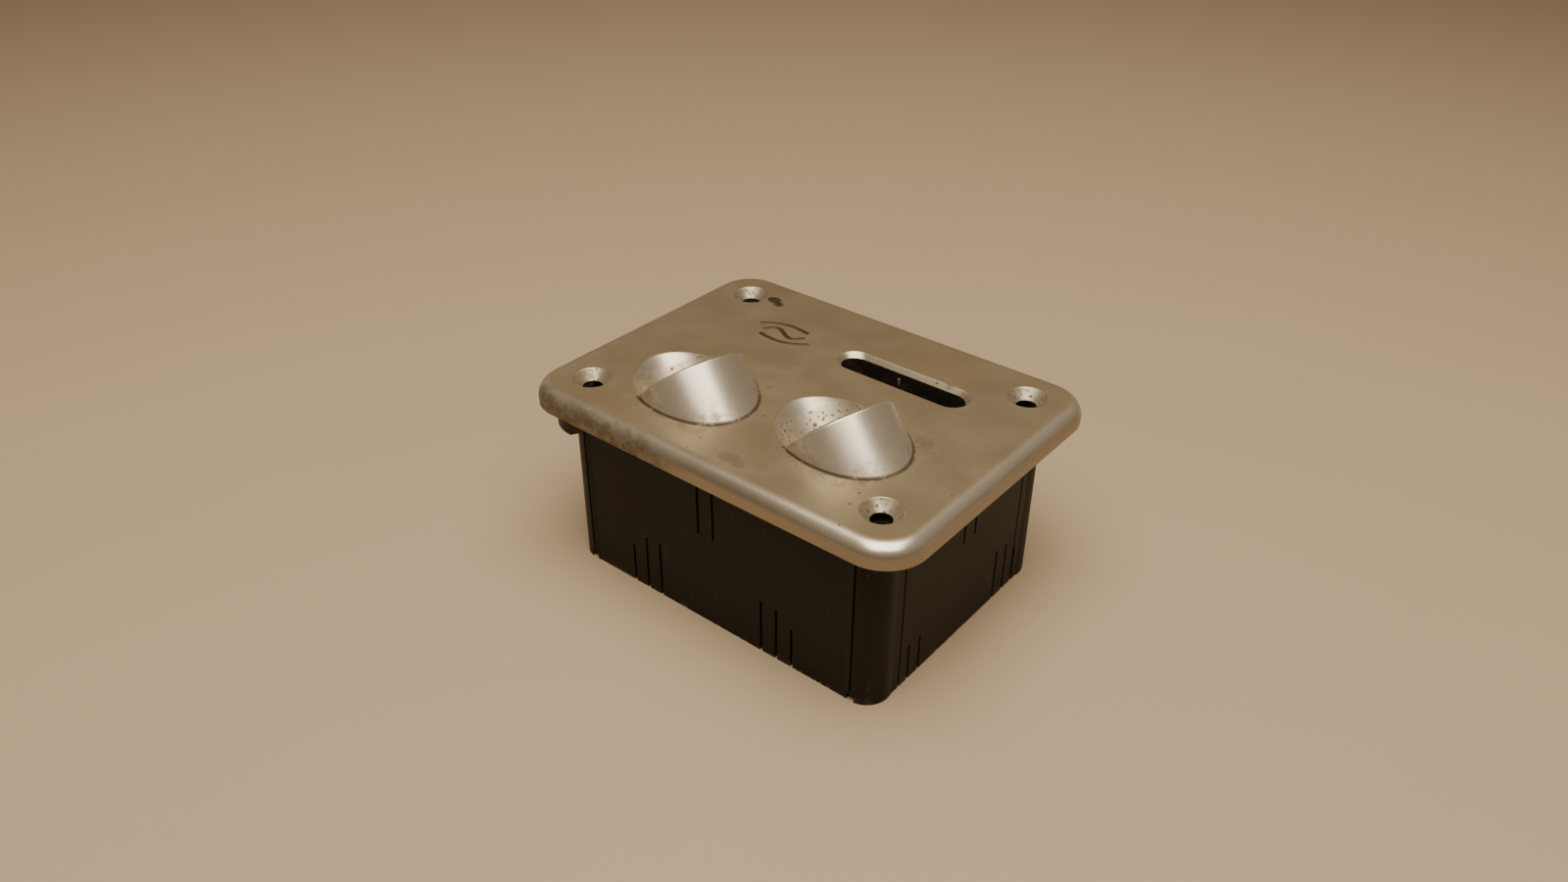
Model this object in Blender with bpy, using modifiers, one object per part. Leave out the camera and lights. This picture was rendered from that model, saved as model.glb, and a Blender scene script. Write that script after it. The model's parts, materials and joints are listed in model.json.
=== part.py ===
"""Flush face plate with two 45 degree hooded inlet ports and a slot, on a plastic back box.

Metres, +Z up. The origin is the middle of the box's base. X runs along the plate's long side,
and -Y is the side that the hoods are nearer to.
"""
import math

import bmesh
import bpy
from mathutils import Matrix, Vector

MM = 0.001
GAP = 0.3 * MM                      # air between neighbouring pieces

# face plate
PLATE_TOP = 53.0 * MM
PLATE_LENGTH = 116.2 * MM
PLATE_WIDTH = 88.1 * MM
PLATE_CORNER = 13.2 * MM
PLATE_ROLL = 4.0 * MM               # rounding of the upper edge
PLATE_DEPTH = 5.7 * MM
PLATE_SKIN = 2.6 * MM
PLATE_RIM = 2.4 * MM
FIXING_X = 45.0 * MM                # half spacing of the corner screw holes
FIXING_Y = 31.1 * MM
FIXING_RADIUS = 2.6 * MM
COUNTERSINK_RADIUS = 5.1 * MM

# slot in the plate and in the carrier below it
SLOT_CENTRE = (15.8 * MM, 18.9 * MM)
SLOT_LENGTH = 39.6 * MM
SLOT_WIDTH = 9.9 * MM

# hooded ports
PORT_CENTRES = ((-22.45 * MM, -17.64 * MM), (19.75 * MM, -12.44 * MM))
PORT_TURN = math.radians(-16.4)     # in plan
PORT_TILT = math.radians(-45.0)     # away from the plate's normal
PORT_BORE = 13.5 * MM
HOOD_RADIUS = 14.5 * MM
HOOD_MOUTH = 2.5 * MM               # along the port's axis, from the plate's top face
SOCKET_RADIUS = 14.35 * MM          # outside of the port's tube below the plate
SOCKET_END = -12.5 * MM

# back box
BOX_LENGTH = 98.4 * MM
BOX_WIDTH = 73.8 * MM
BOX_CORNER = 6.3 * MM
BOX_WALL = 2.0 * MM
FLANGE_LENGTH = 105.3 * MM
FLANGE_WIDTH = 82.0 * MM
FLANGE_CORNER = 11.5 * MM
FLANGE_UNDER = 44.9 * MM
FLANGE_TOP = 48.4 * MM
POST_RADIUS = 4.5 * MM
WALL_SLOT = 0.7 * MM
WALL_SLOT_PITCH = 4.75 * MM
CORNER_GROOVE_X = 43.0 * MM
CORNER_GROOVE_Y = 26.0 * MM

# device carrier inside the flange
CARRIER_UNDER = 46.2 * MM
CARRIER_TOP = 48.2 * MM
COLLAR_TOP = 50.1 * MM
BOSS_PLACES = ((-43.9 * MM, -2.0 * MM), (43.9 * MM, 8.0 * MM), (-26.0 * MM, 31.8 * MM), (28.0 * MM, 31.8 * MM))
BOSS_RADIUS = 2.6 * MM
CARRIER_SCREW_RADIUS = 1.3 * MM

# inlet insert, along the port's axis: 0 is the plate's top face and minus is inwards
NOSE_FRONT = -5.0 * MM
NOSE_RADIUS = 11.6 * MM
INSERT_SHOULDER = -7.1 * MM
INSERT_BACK = -10.3 * MM
INSERT_RADIUS = 13.2 * MM
BARREL_RADIUS = 9.4 * MM
BARREL_END = -21.0 * MM
PIN_CIRCLE = 5.5 * MM
PIN_RADIUS = 1.9 * MM
PIN_TIP = 0.5 * MM
PIN_HEAD_RADIUS = 2.8 * MM
PIN_END = -26.5 * MM
PIN_NAMES = ("line", "neutral", "earth")
WIRE_RADIUS = 0.9 * MM
WIRE_HOLE = 1.25 * MM
LEAD_STRAIGHT = 3.4 * MM            # straight part of a lead at both of its ends
PORT_LEAD_POLES = (2, 0, 1)         # terminal pole of the line, neutral and earth leads
# length of each lead's handles, at its pin and at its terminal, that keeps the leads apart
PORT_LEAD_HANDLES = (((2.5, 22.9), (3.8, 19.5), (1.8, 18.5)), ((2.6, 9.9), (3.0, 10.2), (19.6, 9.0)))
SWITCH_LEAD_HANDLES = ((7.3, 10.7), (2.5, 21.4))

# terminal block on the box's floor
BLOCK_CENTRE = (-18.0 * MM, 20.0 * MM)
BLOCK_SIZE = (40.0 * MM, 12.0 * MM, 13.0 * MM)
BLOCK_UNDER = 2.3 * MM
POLES = 5
POLE_PITCH = 7.6 * MM
CLAMP_SIZE = (5.0 * MM, 8.0 * MM, 7.6 * MM)
CLAMP_UNDER = 3.6 * MM
LOWER_ENTRY = 5.6 * MM
UPPER_ENTRY = 9.0 * MM

# snap switch below the slot
LEVER_PLANE = 18.9 * MM             # Y of the lever and the plunger
LEVER_PIVOT = (5.0 * MM, 40.7 * MM)
SWITCH_X = (2.6 * MM, 23.4 * MM)
SWITCH_Y = (16.9 * MM, 24.1 * MM)
SWITCH_Z = (29.0 * MM, 39.2 * MM)
CAVITY_X = (3.3 * MM, 22.7 * MM)
CAVITY_Y = (16.0 * MM, 21.1 * MM)
CAVITY_Z = (32.6 * MM, 38.0 * MM)
PLUNGER_X = 9.5 * MM
PLUNGER_RADIUS = 0.8 * MM
BLADE_PIVOT = (5.0 * MM, 36.3 * MM)
LEVER_TIP = (14.9 * MM, 52.0 * MM)
SWITCH_HOLES = ((7.4 * MM, 30.9 * MM), (18.4 * MM, 30.9 * MM))
TAB_Y = (17.3 * MM, 20.5 * MM)
TAB_FOOT = 25.0 * MM

# cable entry in the back wall
GROMMET_PLACE = (0.0, 11.0 * MM)
GROMMET_HOLE = 5.0 * MM


def clear_scene():
    for obj in list(bpy.data.objects):
        bpy.data.objects.remove(obj, do_unlink=True)


def new_collection(name):
    group = bpy.data.collections.new(name)
    bpy.context.scene.collection.children.link(group)
    return group


clear_scene()
PARTS = new_collection("hooded_inlet_box")
CUTTERS = new_collection("cutters")


def material(name, colour, roughness, metallic=0.0):
    """A Principled material, made once for each name."""
    made = bpy.data.materials.get(name)
    if made is None:
        made = bpy.data.materials.new(name)
        made.use_nodes = True
        shader = made.node_tree.nodes["Principled BSDF"]
        shader.inputs["Base Color"].default_value = (*colour, 1.0)
        shader.inputs["Roughness"].default_value = roughness
        shader.inputs["Metallic"].default_value = metallic
        made.diffuse_color = (*colour, 1.0)
    return made


FINISHES = {
    "silver": ((0.55, 0.52, 0.46), 0.38, 0.8),
    "black_plastic": ((0.02, 0.018, 0.016), 0.5, 0.0),
    "rubber": ((0.03, 0.03, 0.03), 0.8, 0.0),
    "insert_plastic": ((0.05, 0.05, 0.055), 0.45, 0.0),
    "ring_plastic": ((0.35, 0.35, 0.34), 0.45, 0.0),
    "brass": ((0.75, 0.55, 0.25), 0.3, 1.0),
    "steel": ((0.6, 0.6, 0.6), 0.35, 1.0),
    "copper": ((0.8, 0.42, 0.28), 0.3, 1.0),
    "block_plastic": ((0.75, 0.73, 0.68), 0.5, 0.0),
    "switch_plastic": ((0.12, 0.05, 0.03), 0.5, 0.0),
    "button_plastic": ((0.6, 0.08, 0.05), 0.4, 0.0),
    "brown_wire": ((0.22, 0.09, 0.04), 0.5, 0.0),
    "blue_wire": ((0.05, 0.12, 0.45), 0.5, 0.0),
    "green_wire": ((0.2, 0.4, 0.05), 0.5, 0.0),
    "grey_wire": ((0.3, 0.3, 0.3), 0.5, 0.0),
}


def place_object(name, data, finish, parent=None):
    """Link a part that has a finish, or a hidden cutter that has none."""
    obj = bpy.data.objects.new(name, data)
    if finish is None:
        CUTTERS.objects.link(obj)
        obj.hide_render = True
        obj.display_type = "WIRE"
    else:
        PARTS.objects.link(obj)
        data.materials.append(material(finish, *FINISHES[finish]))
    obj.parent = parent
    return obj


def mesh_object(name, bm, finish, parent=None, smooth=30.0):
    """Turn a bmesh into an object, with its round faces shaded smooth."""
    mesh = bpy.data.meshes.new(name)
    bm.normal_update()
    bm.to_mesh(mesh)
    bm.free()
    mesh.shade_smooth()
    mesh.set_sharp_from_angle(angle=math.radians(smooth))
    return place_object(name, mesh, finish, parent)


def box(name, low, high, finish=None, parent=None):
    """A plain block between two corners."""
    size = [b - a for a, b in zip(low, high)]
    centre = [(a + b) / 2 for a, b in zip(low, high)]
    bm = bmesh.new()
    bmesh.ops.create_cube(bm, size=1.0, matrix=Matrix.Translation(centre) @ Matrix.Diagonal((*size, 1.0)))
    return mesh_object(name, bm, finish, parent)


def slab(name, length, width, under, top, corner, finish=None, roll=0.0, centre=(0.0, 0.0), segments=6):
    """A plate with round corners in plan; roll rounds its upper edge."""
    bm = bmesh.new()
    place = Matrix.Translation((centre[0], centre[1], (under + top) / 2))
    bmesh.ops.create_cube(bm, size=1.0, matrix=place @ Matrix.Diagonal((length, width, top - under, 1.0)))
    upright = [e for e in bm.edges if abs(e.verts[0].co.z - e.verts[1].co.z) > (top - under) / 2]
    bmesh.ops.bevel(bm, geom=upright, offset=corner, segments=segments, profile=0.5, affect="EDGES")
    if roll:
        bmesh.ops.remove_doubles(bm, verts=bm.verts, dist=1e-7)
        upper = [e for e in bm.edges if all(v.co.z > top - 1e-6 for v in e.verts)]
        bmesh.ops.bevel(bm, geom=upper, offset=roll, segments=4, profile=0.5, affect="EDGES")
    bmesh.ops.remove_doubles(bm, verts=bm.verts, dist=1e-6)
    return mesh_object(name, bm, finish)


def rod(name, radius, start, end, finish=None, parent=None, sides=16, end_radius=None):
    """A round bar, or a cone with another radius at its end, between two points."""
    start = Vector(start)
    end = Vector(end)
    along = end - start
    bm = bmesh.new()
    turn = along.to_track_quat("Z", "Y").to_matrix().to_4x4()
    bmesh.ops.create_cone(bm, cap_ends=True, segments=sides, radius1=radius,
                          radius2=radius if end_radius is None else end_radius,
                          depth=along.length, matrix=Matrix.Translation((start + end) / 2) @ turn)
    return mesh_object(name, bm, finish, parent)


def turned(name, profile, finish, parent=None, steps=24, closed=False):
    """A turned piece: (radius, height) points that run down the outer side, spun about Z."""
    mesh = bpy.data.meshes.new(name)
    points = [(radius, 0.0, height) for radius, height in profile]
    edges = [(i, i + 1) for i in range(len(points) - 1)]
    if closed:
        edges.append((len(points) - 1, 0))
    mesh.from_pydata(points, edges, [])
    obj = place_object(name, mesh, finish, parent)
    screw = obj.modifiers.new("turn", "SCREW")
    screw.steps = steps
    screw.render_steps = steps
    screw.use_merge_vertices = True
    screw.merge_threshold = 0.00001
    screw.use_smooth_shade = True
    return obj


def outline_plate(name, outline, y_low, y_high, finish):
    """An outline of (x, z) points, run from one Y to another."""
    bm = bmesh.new()
    corners = [bm.verts.new((x, y_low, z)) for x, z in outline]
    face = bm.faces.new(corners)
    grown = bmesh.ops.extrude_face_region(bm, geom=[face])
    moved = [part for part in grown["geom"] if isinstance(part, bmesh.types.BMVert)]
    bmesh.ops.translate(bm, verts=moved, vec=(0.0, y_high - y_low, 0.0))
    bmesh.ops.recalc_face_normals(bm, faces=bm.faces)
    return mesh_object(name, bm, finish)


def combine(obj, other, operation):
    step = obj.modifiers.new(f"{operation.lower()}_{other.name}", "BOOLEAN")
    step.operation = operation
    step.object = other
    step.solver = "EXACT"


def cut(obj, *tools):
    for tool in tools:
        combine(obj, tool, "DIFFERENCE")


def join(obj, *tools):
    for tool in tools:
        combine(obj, tool, "UNION")


def lead_points(start, away, away_reach, end, inward, inward_reach, count):
    """A lead's route: straight out of one hole, one smooth curve, and straight into the other."""
    first = start + away * LEAD_STRAIGHT
    last = end - inward * LEAD_STRAIGHT
    leave = first + away * away_reach
    arrive = last - inward * inward_reach
    points = [start]
    for i in range(count):
        t = i / (count - 1)
        points.append(first * (1 - t) ** 3 + leave * 3 * t * (1 - t) ** 2
                      + arrive * 3 * t * t * (1 - t) + last * t ** 3)
    points.append(end)
    return points


def wire(name, points, radius, finish, resolution=2):
    """A round wire along a list of points, with closed ends."""
    curve = bpy.data.curves.new(name, "CURVE")
    curve.dimensions = "3D"
    curve.bevel_depth = radius
    curve.bevel_resolution = resolution
    curve.use_fill_caps = True
    spline = curve.splines.new("POLY")
    spline.points.add(len(points) - 1)
    for knot, point in zip(spline.points, points):
        knot.co = (*point, 1.0)
    return place_object(name, curve, finish)


def curve_to_mesh(obj):
    """The same piece as a closed mesh, so that a Boolean can join to it."""
    bpy.context.view_layer.update()
    graph = bpy.context.evaluated_depsgraph_get()
    mesh = bpy.data.meshes.new_from_object(obj.evaluated_get(graph))
    bm = bmesh.new()
    bm.from_mesh(mesh)
    bmesh.ops.remove_doubles(bm, verts=bm.verts, dist=1e-7)
    bmesh.ops.recalc_face_normals(bm, faces=bm.faces)
    bm.to_mesh(mesh)
    bm.free()
    name = obj.name
    matrix = obj.matrix_world.copy()
    bpy.data.objects.remove(obj, do_unlink=True)
    piece = bpy.data.objects.new(name, mesh)
    piece.matrix_world = matrix
    PARTS.objects.link(piece)
    return piece


def port_frames():
    """One empty on each port's axis, with its Z pointing out of the mouth."""
    frames = []
    for number, (x, y) in enumerate(PORT_CENTRES, start=1):
        empty = bpy.data.objects.new(f"port_axis_{number}", None)
        PARTS.objects.link(empty)
        turn = Matrix.Rotation(PORT_TURN, 4, "Z") @ Matrix.Rotation(PORT_TILT, 4, "Y")
        empty.matrix_world = Matrix.Translation((x, y, PLATE_TOP)) @ turn
        frames.append(empty)
    return frames


def slot_tool(name, length, width, under, top, finish=None):
    """A bar with round ends at the slot's place."""
    return slab(name, length, width, under, top, width / 2, finish, centre=SLOT_CENTRE, segments=8)


def corner_places():
    return [(sx * FIXING_X, sy * FIXING_Y) for sx in (-1, 1) for sy in (-1, 1)]


def face_plate(frames):
    plate = slab("face_plate", PLATE_LENGTH, PLATE_WIDTH, PLATE_TOP - PLATE_DEPTH, PLATE_TOP,
                 PLATE_CORNER, "silver", roll=PLATE_ROLL)
    hollow = slab("plate_hollow", PLATE_LENGTH - 2 * PLATE_RIM, PLATE_WIDTH - 2 * PLATE_RIM,
                  PLATE_TOP - PLATE_DEPTH - 1 * MM, PLATE_TOP - PLATE_SKIN, PLATE_CORNER - PLATE_RIM)
    cut(plate, hollow)
    far = 80 * MM
    buried = PLATE_TOP - 1.3 * MM
    below_skin = box("below_skin", (-far, -far, -far), (far, far, buried))
    above_skin = box("above_skin", (-far, -far, buried + 0.3 * MM), (far, far, 2 * far))
    for number, frame in enumerate(frames, start=1):
        hood = rod(f"hood_{number}", HOOD_RADIUS, (0, 0, -22 * MM), (0, 0, HOOD_MOUTH), None, frame, 40)
        cut(hood, below_skin)
        socket = rod(f"socket_{number}", SOCKET_RADIUS, (0, 0, SOCKET_END), (0, 0, 30 * MM), None, frame, 36)
        cut(socket, above_skin)
        join(plate, hood, socket)
    for number, frame in enumerate(frames, start=1):
        bore = rod(f"bore_{number}", PORT_BORE, (0, 0, -32 * MM), (0, 0, 34 * MM), None, frame, 40)
        cut(plate, bore)
        lip = turned(f"lip_{number}", [(PORT_BORE + 0.4 * MM, -4.2 * MM), (PORT_BORE + 0.4 * MM, -5.0 * MM),
                                       (12.4 * MM, -5.0 * MM), (12.4 * MM, -4.2 * MM)],
                     None, frame, steps=40, closed=True)
        join(plate, lip)
    cut(plate, slot_tool("plate_slot", SLOT_LENGTH, SLOT_WIDTH, PLATE_TOP - 8 * MM, PLATE_TOP + 2 * MM))
    slope = (COUNTERSINK_RADIUS - FIXING_RADIUS) / (2.4 * MM)
    for number, (x, y) in enumerate(corner_places()):
        hole = rod(f"fixing_hole_{number}", FIXING_RADIUS, (x, y, PLATE_TOP - 8 * MM), (x, y, PLATE_TOP + MM), sides=20)
        sink = rod(f"countersink_{number}", FIXING_RADIUS - 0.2 * MM * slope, (x, y, PLATE_TOP - 2.6 * MM),
                   (x, y, PLATE_TOP + MM), sides=20, end_radius=COUNTERSINK_RADIUS + MM * slope)
        cut(plate, hole, sink)


def plate_gasket():
    gasket = slab("plate_gasket", 104.6 * MM, 81.4 * MM, FLANGE_TOP + GAP, PLATE_TOP - PLATE_SKIN - GAP,
                  11.2 * MM, "rubber")
    cut(gasket, slab("gasket_window", BOX_LENGTH - 2 * BOX_WALL, BOX_WIDTH - 2 * BOX_WALL,
                     FLANGE_TOP - MM, PLATE_TOP, BOX_CORNER - BOX_WALL))
    for number, (x, y) in enumerate(corner_places()):
        cut(gasket, rod(f"gasket_hole_{number}", 3.0 * MM, (x, y, FLANGE_TOP - MM), (x, y, PLATE_TOP)))


def wall_slot_boxes(group_name, places, along_x, face, low, high):
    """Thin upright cutters through one wall: places are along the wall, face is the wall's middle."""
    tools = []
    reach = BOX_WALL
    for number, place in enumerate(places):
        near = (place - WALL_SLOT / 2, face - reach) if along_x else (face - reach, place - WALL_SLOT / 2)
        off = (place + WALL_SLOT / 2, face + reach) if along_x else (face + reach, place + WALL_SLOT / 2)
        top = high[number] if isinstance(high, tuple) else high
        tools.append(box(f"{group_name}_{number}", (*near, low), (*off, top)))
    return tools


def wall_slots(wall_box):
    """Each wall has a group of thin slots at both lower ends and a pair at the top."""
    pitch = WALL_SLOT_PITCH
    long_face = BOX_WIDTH / 2 - BOX_WALL / 2
    short_face = BOX_LENGTH / 2 - BOX_WALL / 2
    for side in (-1, 1):
        tag = "front" if side < 0 else "back"
        left = tuple(-22.8 * MM + k * pitch for k in (-1, 0, 1))
        right = tuple(20.4 * MM + k * pitch for k in (-1, 0, 1))
        pair = (-4.3 * MM, 0.5 * MM)
        cut(wall_box, *wall_slot_boxes(f"{tag}_low_left", left, True, side * long_face, -MM,
                                       (12.0 * MM, 16.3 * MM, 16.3 * MM)))
        cut(wall_box, *wall_slot_boxes(f"{tag}_low_right", right, True, side * long_face, -MM,
                                       (15.5 * MM, 15.5 * MM, 11.8 * MM)))
        cut(wall_box, *wall_slot_boxes(f"{tag}_high", pair, True, side * long_face, 26.5 * MM, 43.0 * MM))
        tag = "left" if side < 0 else "right"
        rear = tuple(21.6 * MM + k * pitch for k in (-1, 0, 1))
        near = (-22.3 * MM, -17.7 * MM)
        pair = (-1.0 * MM, 3.9 * MM)
        cut(wall_box, *wall_slot_boxes(f"{tag}_low_rear", rear, False, side * short_face, -MM,
                                       (15.4 * MM, 15.0 * MM, 11.0 * MM)))
        cut(wall_box, *wall_slot_boxes(f"{tag}_low_near", near, False, side * short_face, -MM, 10.5 * MM))
        cut(wall_box, *wall_slot_boxes(f"{tag}_high", pair, False, side * short_face, 28.3 * MM, 43.0 * MM))


def corner_grooves(wall_box):
    """A fine upright groove on both sides of each corner, with a notch at the foot on the long walls."""
    half = 0.25 * MM
    depth = 0.6 * MM
    edge_x = BOX_LENGTH / 2
    edge_y = BOX_WIDTH / 2
    for number, (sx, sy) in enumerate([(sx, sy) for sx in (-1, 1) for sy in (-1, 1)]):
        x = sx * CORNER_GROOVE_X
        y = sy * edge_y
        groove = box(f"groove_x_{number}", (x - half, min(y, y - sy * depth) - (0.5 * MM if sy < 0 else 0), 1 * MM),
                     (x + half, max(y, y - sy * depth) + (0.5 * MM if sy > 0 else 0), 44.4 * MM))
        notch = box(f"notch_{number}", (x - 1.1 * MM, min(y, y - sy * 1.2 * MM) - (MM if sy < 0 else 0), -MM),
                    (x + 1.1 * MM, max(y, y - sy * 1.2 * MM) + (MM if sy > 0 else 0), 2.0 * MM))
        x = sx * edge_x
        y = sy * CORNER_GROOVE_Y
        side = box(f"groove_y_{number}", (min(x, x - sx * depth) - (0.5 * MM if sx < 0 else 0), y - half, -MM),
                   (max(x, x - sx * depth) + (0.5 * MM if sx > 0 else 0), y + half, 44.4 * MM))
        cut(wall_box, groove, notch, side)


def wall_box():
    body = slab("wall_box", BOX_LENGTH, BOX_WIDTH, 0.0, FLANGE_UNDER + MM, BOX_CORNER, "black_plastic")
    join(body, slab("flange", FLANGE_LENGTH, FLANGE_WIDTH, FLANGE_UNDER, FLANGE_TOP, FLANGE_CORNER))
    cut(body, slab("box_hollow", BOX_LENGTH - 2 * BOX_WALL, BOX_WIDTH - 2 * BOX_WALL, BOX_WALL,
                   FLANGE_TOP + 2 * MM, BOX_CORNER - BOX_WALL))
    for number, (x, y) in enumerate(corner_places()):
        join(body, rod(f"post_{number}", POST_RADIUS, (x, y, 1 * MM), (x, y, FLANGE_TOP - 0.01 * MM), sides=20))
    for number, (x, y) in enumerate(BOSS_PLACES):
        join(body, rod(f"boss_{number}", BOSS_RADIUS, (x, y, 1 * MM), (x, y, CARRIER_UNDER - GAP), sides=16))
    for number, (x, y) in enumerate(corner_places()):
        cut(body, rod(f"post_hole_{number}", 1.9 * MM, (x, y, 14 * MM), (x, y, FLANGE_TOP + 2 * MM), sides=12))
    for number, (x, y) in enumerate(BOSS_PLACES):
        cut(body, rod(f"boss_hole_{number}", CARRIER_SCREW_RADIUS + GAP, (x, y, 32 * MM), (x, y, 60 * MM), sides=12))
    x, z = GROMMET_PLACE
    cut(body, rod("cable_hole", GROMMET_HOLE, (x, BOX_WIDTH / 2 - 4 * MM, z), (x, BOX_WIDTH / 2 + 2 * MM, z), sides=24))
    wall_slots(body)
    corner_grooves(body)


def device_carrier(frames):
    carrier = slab("device_carrier", BOX_LENGTH - 2 * BOX_WALL - 1 * MM, BOX_WIDTH - 2 * BOX_WALL - 1 * MM,
                   CARRIER_UNDER, CARRIER_TOP, BOX_CORNER - BOX_WALL - 0.5 * MM, "black_plastic")
    join(carrier, slot_tool("collar", SLOT_LENGTH + 4 * MM, SLOT_WIDTH + 4 * MM, CARRIER_UNDER + 0.5 * MM, COLLAR_TOP))
    join(carrier, box("switch_bracket", (1.6 * MM, SWITCH_Y[1] + GAP, SWITCH_Z[0] - 0.5 * MM),
                      (24.4 * MM, SWITCH_Y[1] + GAP + 2 * MM, CARRIER_UNDER + 1 * MM)))
    cut(carrier, slot_tool("carrier_slot", SLOT_LENGTH, SLOT_WIDTH, CARRIER_UNDER - MM, COLLAR_TOP + MM))
    for number, frame in enumerate(frames, start=1):
        cut(carrier, rod(f"port_room_{number}", HOOD_RADIUS + 0.6 * MM, (0, 0, -45 * MM), (0, 0, 40 * MM),
                         None, frame, 32))
    for number, (x, y) in enumerate(corner_places()):
        cut(carrier, rod(f"post_room_{number}", POST_RADIUS + 0.5 * MM, (x, y, 40 * MM), (x, y, 56 * MM)))
    for number, (x, y) in enumerate(BOSS_PLACES):
        cut(carrier, rod(f"carrier_hole_{number}", CARRIER_SCREW_RADIUS + GAP, (x, y, 40 * MM), (x, y, 56 * MM), sides=12))
    for number, (x, z) in enumerate(SWITCH_HOLES):
        cut(carrier, rod(f"bracket_hole_{number}", 1.1 * MM, (x, 20 * MM, z), (x, 30 * MM, z), sides=12))


def headed_screw(name, start, direction, shank_radius, shank_length, head_radius, head_height, finish="steel"):
    """A pan head screw with a straight slot; start is the head's underside."""
    axis = Vector(direction).normalized()
    start = Vector(start)
    screw = rod(name, head_radius, start - axis * head_height, start, finish, sides=12)
    join(screw, rod(f"{name}_shank", shank_radius, start - axis * head_height / 2, start + axis * shank_length, sides=8))
    across = axis.orthogonal().normalized()
    side = axis.cross(across)
    bm = bmesh.new()
    turn = Matrix((across, side, axis)).transposed().to_4x4()
    size = Matrix.Diagonal((3 * head_radius, 0.5 * MM, 0.9 * head_height, 1.0))
    bmesh.ops.create_cube(bm, size=1.0, matrix=Matrix.Translation(start - axis * head_height) @ turn @ size)
    cut(screw, mesh_object(f"{name}_slot", bm, None))
    return screw


def carrier_screws():
    for number, (x, y) in enumerate(BOSS_PLACES, start=1):
        headed_screw(f"carrier_screw_{number}", (x, y, CARRIER_TOP + GAP), (0, 0, -1),
                     CARRIER_SCREW_RADIUS, 11 * MM, 2.3 * MM, 1.3 * MM)


def pin_angle(index):
    return math.radians(90 + 120 * index)


def pin_place(index):
    angle = pin_angle(index)
    return PIN_CIRCLE * math.cos(angle), PIN_CIRCLE * math.sin(angle)


def inlet_insert(number, frame):
    insert = rod(f"inlet_insert_{number}", INSERT_RADIUS, (0, 0, INSERT_BACK), (0, 0, INSERT_SHOULDER),
                 "insert_plastic", frame, 28)
    join(insert, rod(f"nose_{number}", NOSE_RADIUS, (0, 0, INSERT_BACK + MM), (0, 0, NOSE_FRONT), None, frame, 28),
         rod(f"barrel_{number}", BARREL_RADIUS, (0, 0, BARREL_END), (0, 0, INSERT_SHOULDER - MM), None, frame, 24))
    for index in range(3):
        x, y = pin_place(index)
        cut(insert, rod(f"pin_hole_{number}_{index}", PIN_RADIUS + GAP, (x, y, -24 * MM), (x, y, 0),
                        None, frame, 12))


def inlet_seal(number, frame):
    """A round ring between the socket's lip and the insert's shoulder."""
    middle = 12.55 * MM
    thick = 0.6 * MM
    height = (INSERT_SHOULDER - 5.0 * MM) / 2
    profile = []
    for k in range(6):
        angle = -k * math.tau / 6
        profile.append((middle + thick * math.cos(angle), height + thick * math.sin(angle)))
    turned(f"inlet_seal_{number}", profile, "rubber", frame, steps=24, closed=True)


def retaining_ring(number, frame):
    ring = turned(f"retaining_ring_{number}",
                  [(INSERT_RADIUS, INSERT_BACK - GAP), (INSERT_RADIUS, -13.0 * MM),
                   (BARREL_RADIUS + 2 * GAP, -13.0 * MM), (BARREL_RADIUS + 2 * GAP, INSERT_BACK - GAP)],
                  "ring_plastic", frame, steps=28, closed=True)
    for side in (-1, 1):
        cut(ring, box(f"spanner_notch_{number}_{side}", (-1.2 * MM, side * 13.2 * MM - 1.6 * MM, -14 * MM),
                      (1.2 * MM, side * 13.2 * MM + 1.6 * MM, -12 * MM), None, frame))


def contact_pins(number, frame):
    """Three pins with a clamp head at the back: a wire hole in its end and a grub screw in its side."""
    for index, use in enumerate(PIN_NAMES):
        x, y = pin_place(index)
        head_front = BARREL_END - GAP
        pin = turned(f"{use}_pin_{number}",
                     [(0.0, PIN_TIP), (0.9 * MM, PIN_TIP), (PIN_RADIUS, PIN_TIP - 1.4 * MM),
                      (PIN_RADIUS, head_front), (PIN_HEAD_RADIUS, head_front),
                      (PIN_HEAD_RADIUS, PIN_END), (0.0, PIN_END)], "brass", frame, steps=10)
        pin.location = (x, y, 0)
        cut(pin, rod(f"{use}_wire_hole_{number}", WIRE_HOLE, (x, y, PIN_END - MM), (x, y, PIN_END + 3.8 * MM),
                     None, frame, 8))
        out = Vector((math.cos(pin_angle(index)), math.sin(pin_angle(index)), 0))
        middle = Vector((x, y, PIN_END + 2.0 * MM))
        cut(pin, rod(f"{use}_screw_hole_{number}", 1.2 * MM, middle, middle + out * 5 * MM, None, frame, 8))
        screw = rod(f"pin_screw_{number}{'abc'[index]}", 0.9 * MM, middle + out * (WIRE_RADIUS + GAP),
                    middle + out * 3.9 * MM, "steel", frame, 8)
        turn = Matrix.Rotation(pin_angle(index), 4, "Z")
        bm = bmesh.new()
        size = Matrix.Diagonal((0.8 * MM, 0.4 * MM, 3 * MM, 1.0))
        bmesh.ops.create_cube(bm, size=1.0, matrix=Matrix.Translation(middle + out * 3.9 * MM) @ turn @ size)
        cut(screw, mesh_object(f"pin_screw_slot_{number}{index}", bm, None, frame))


def pole_x(index):
    return BLOCK_CENTRE[0] + (index - (POLES - 1) / 2) * POLE_PITCH


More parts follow.
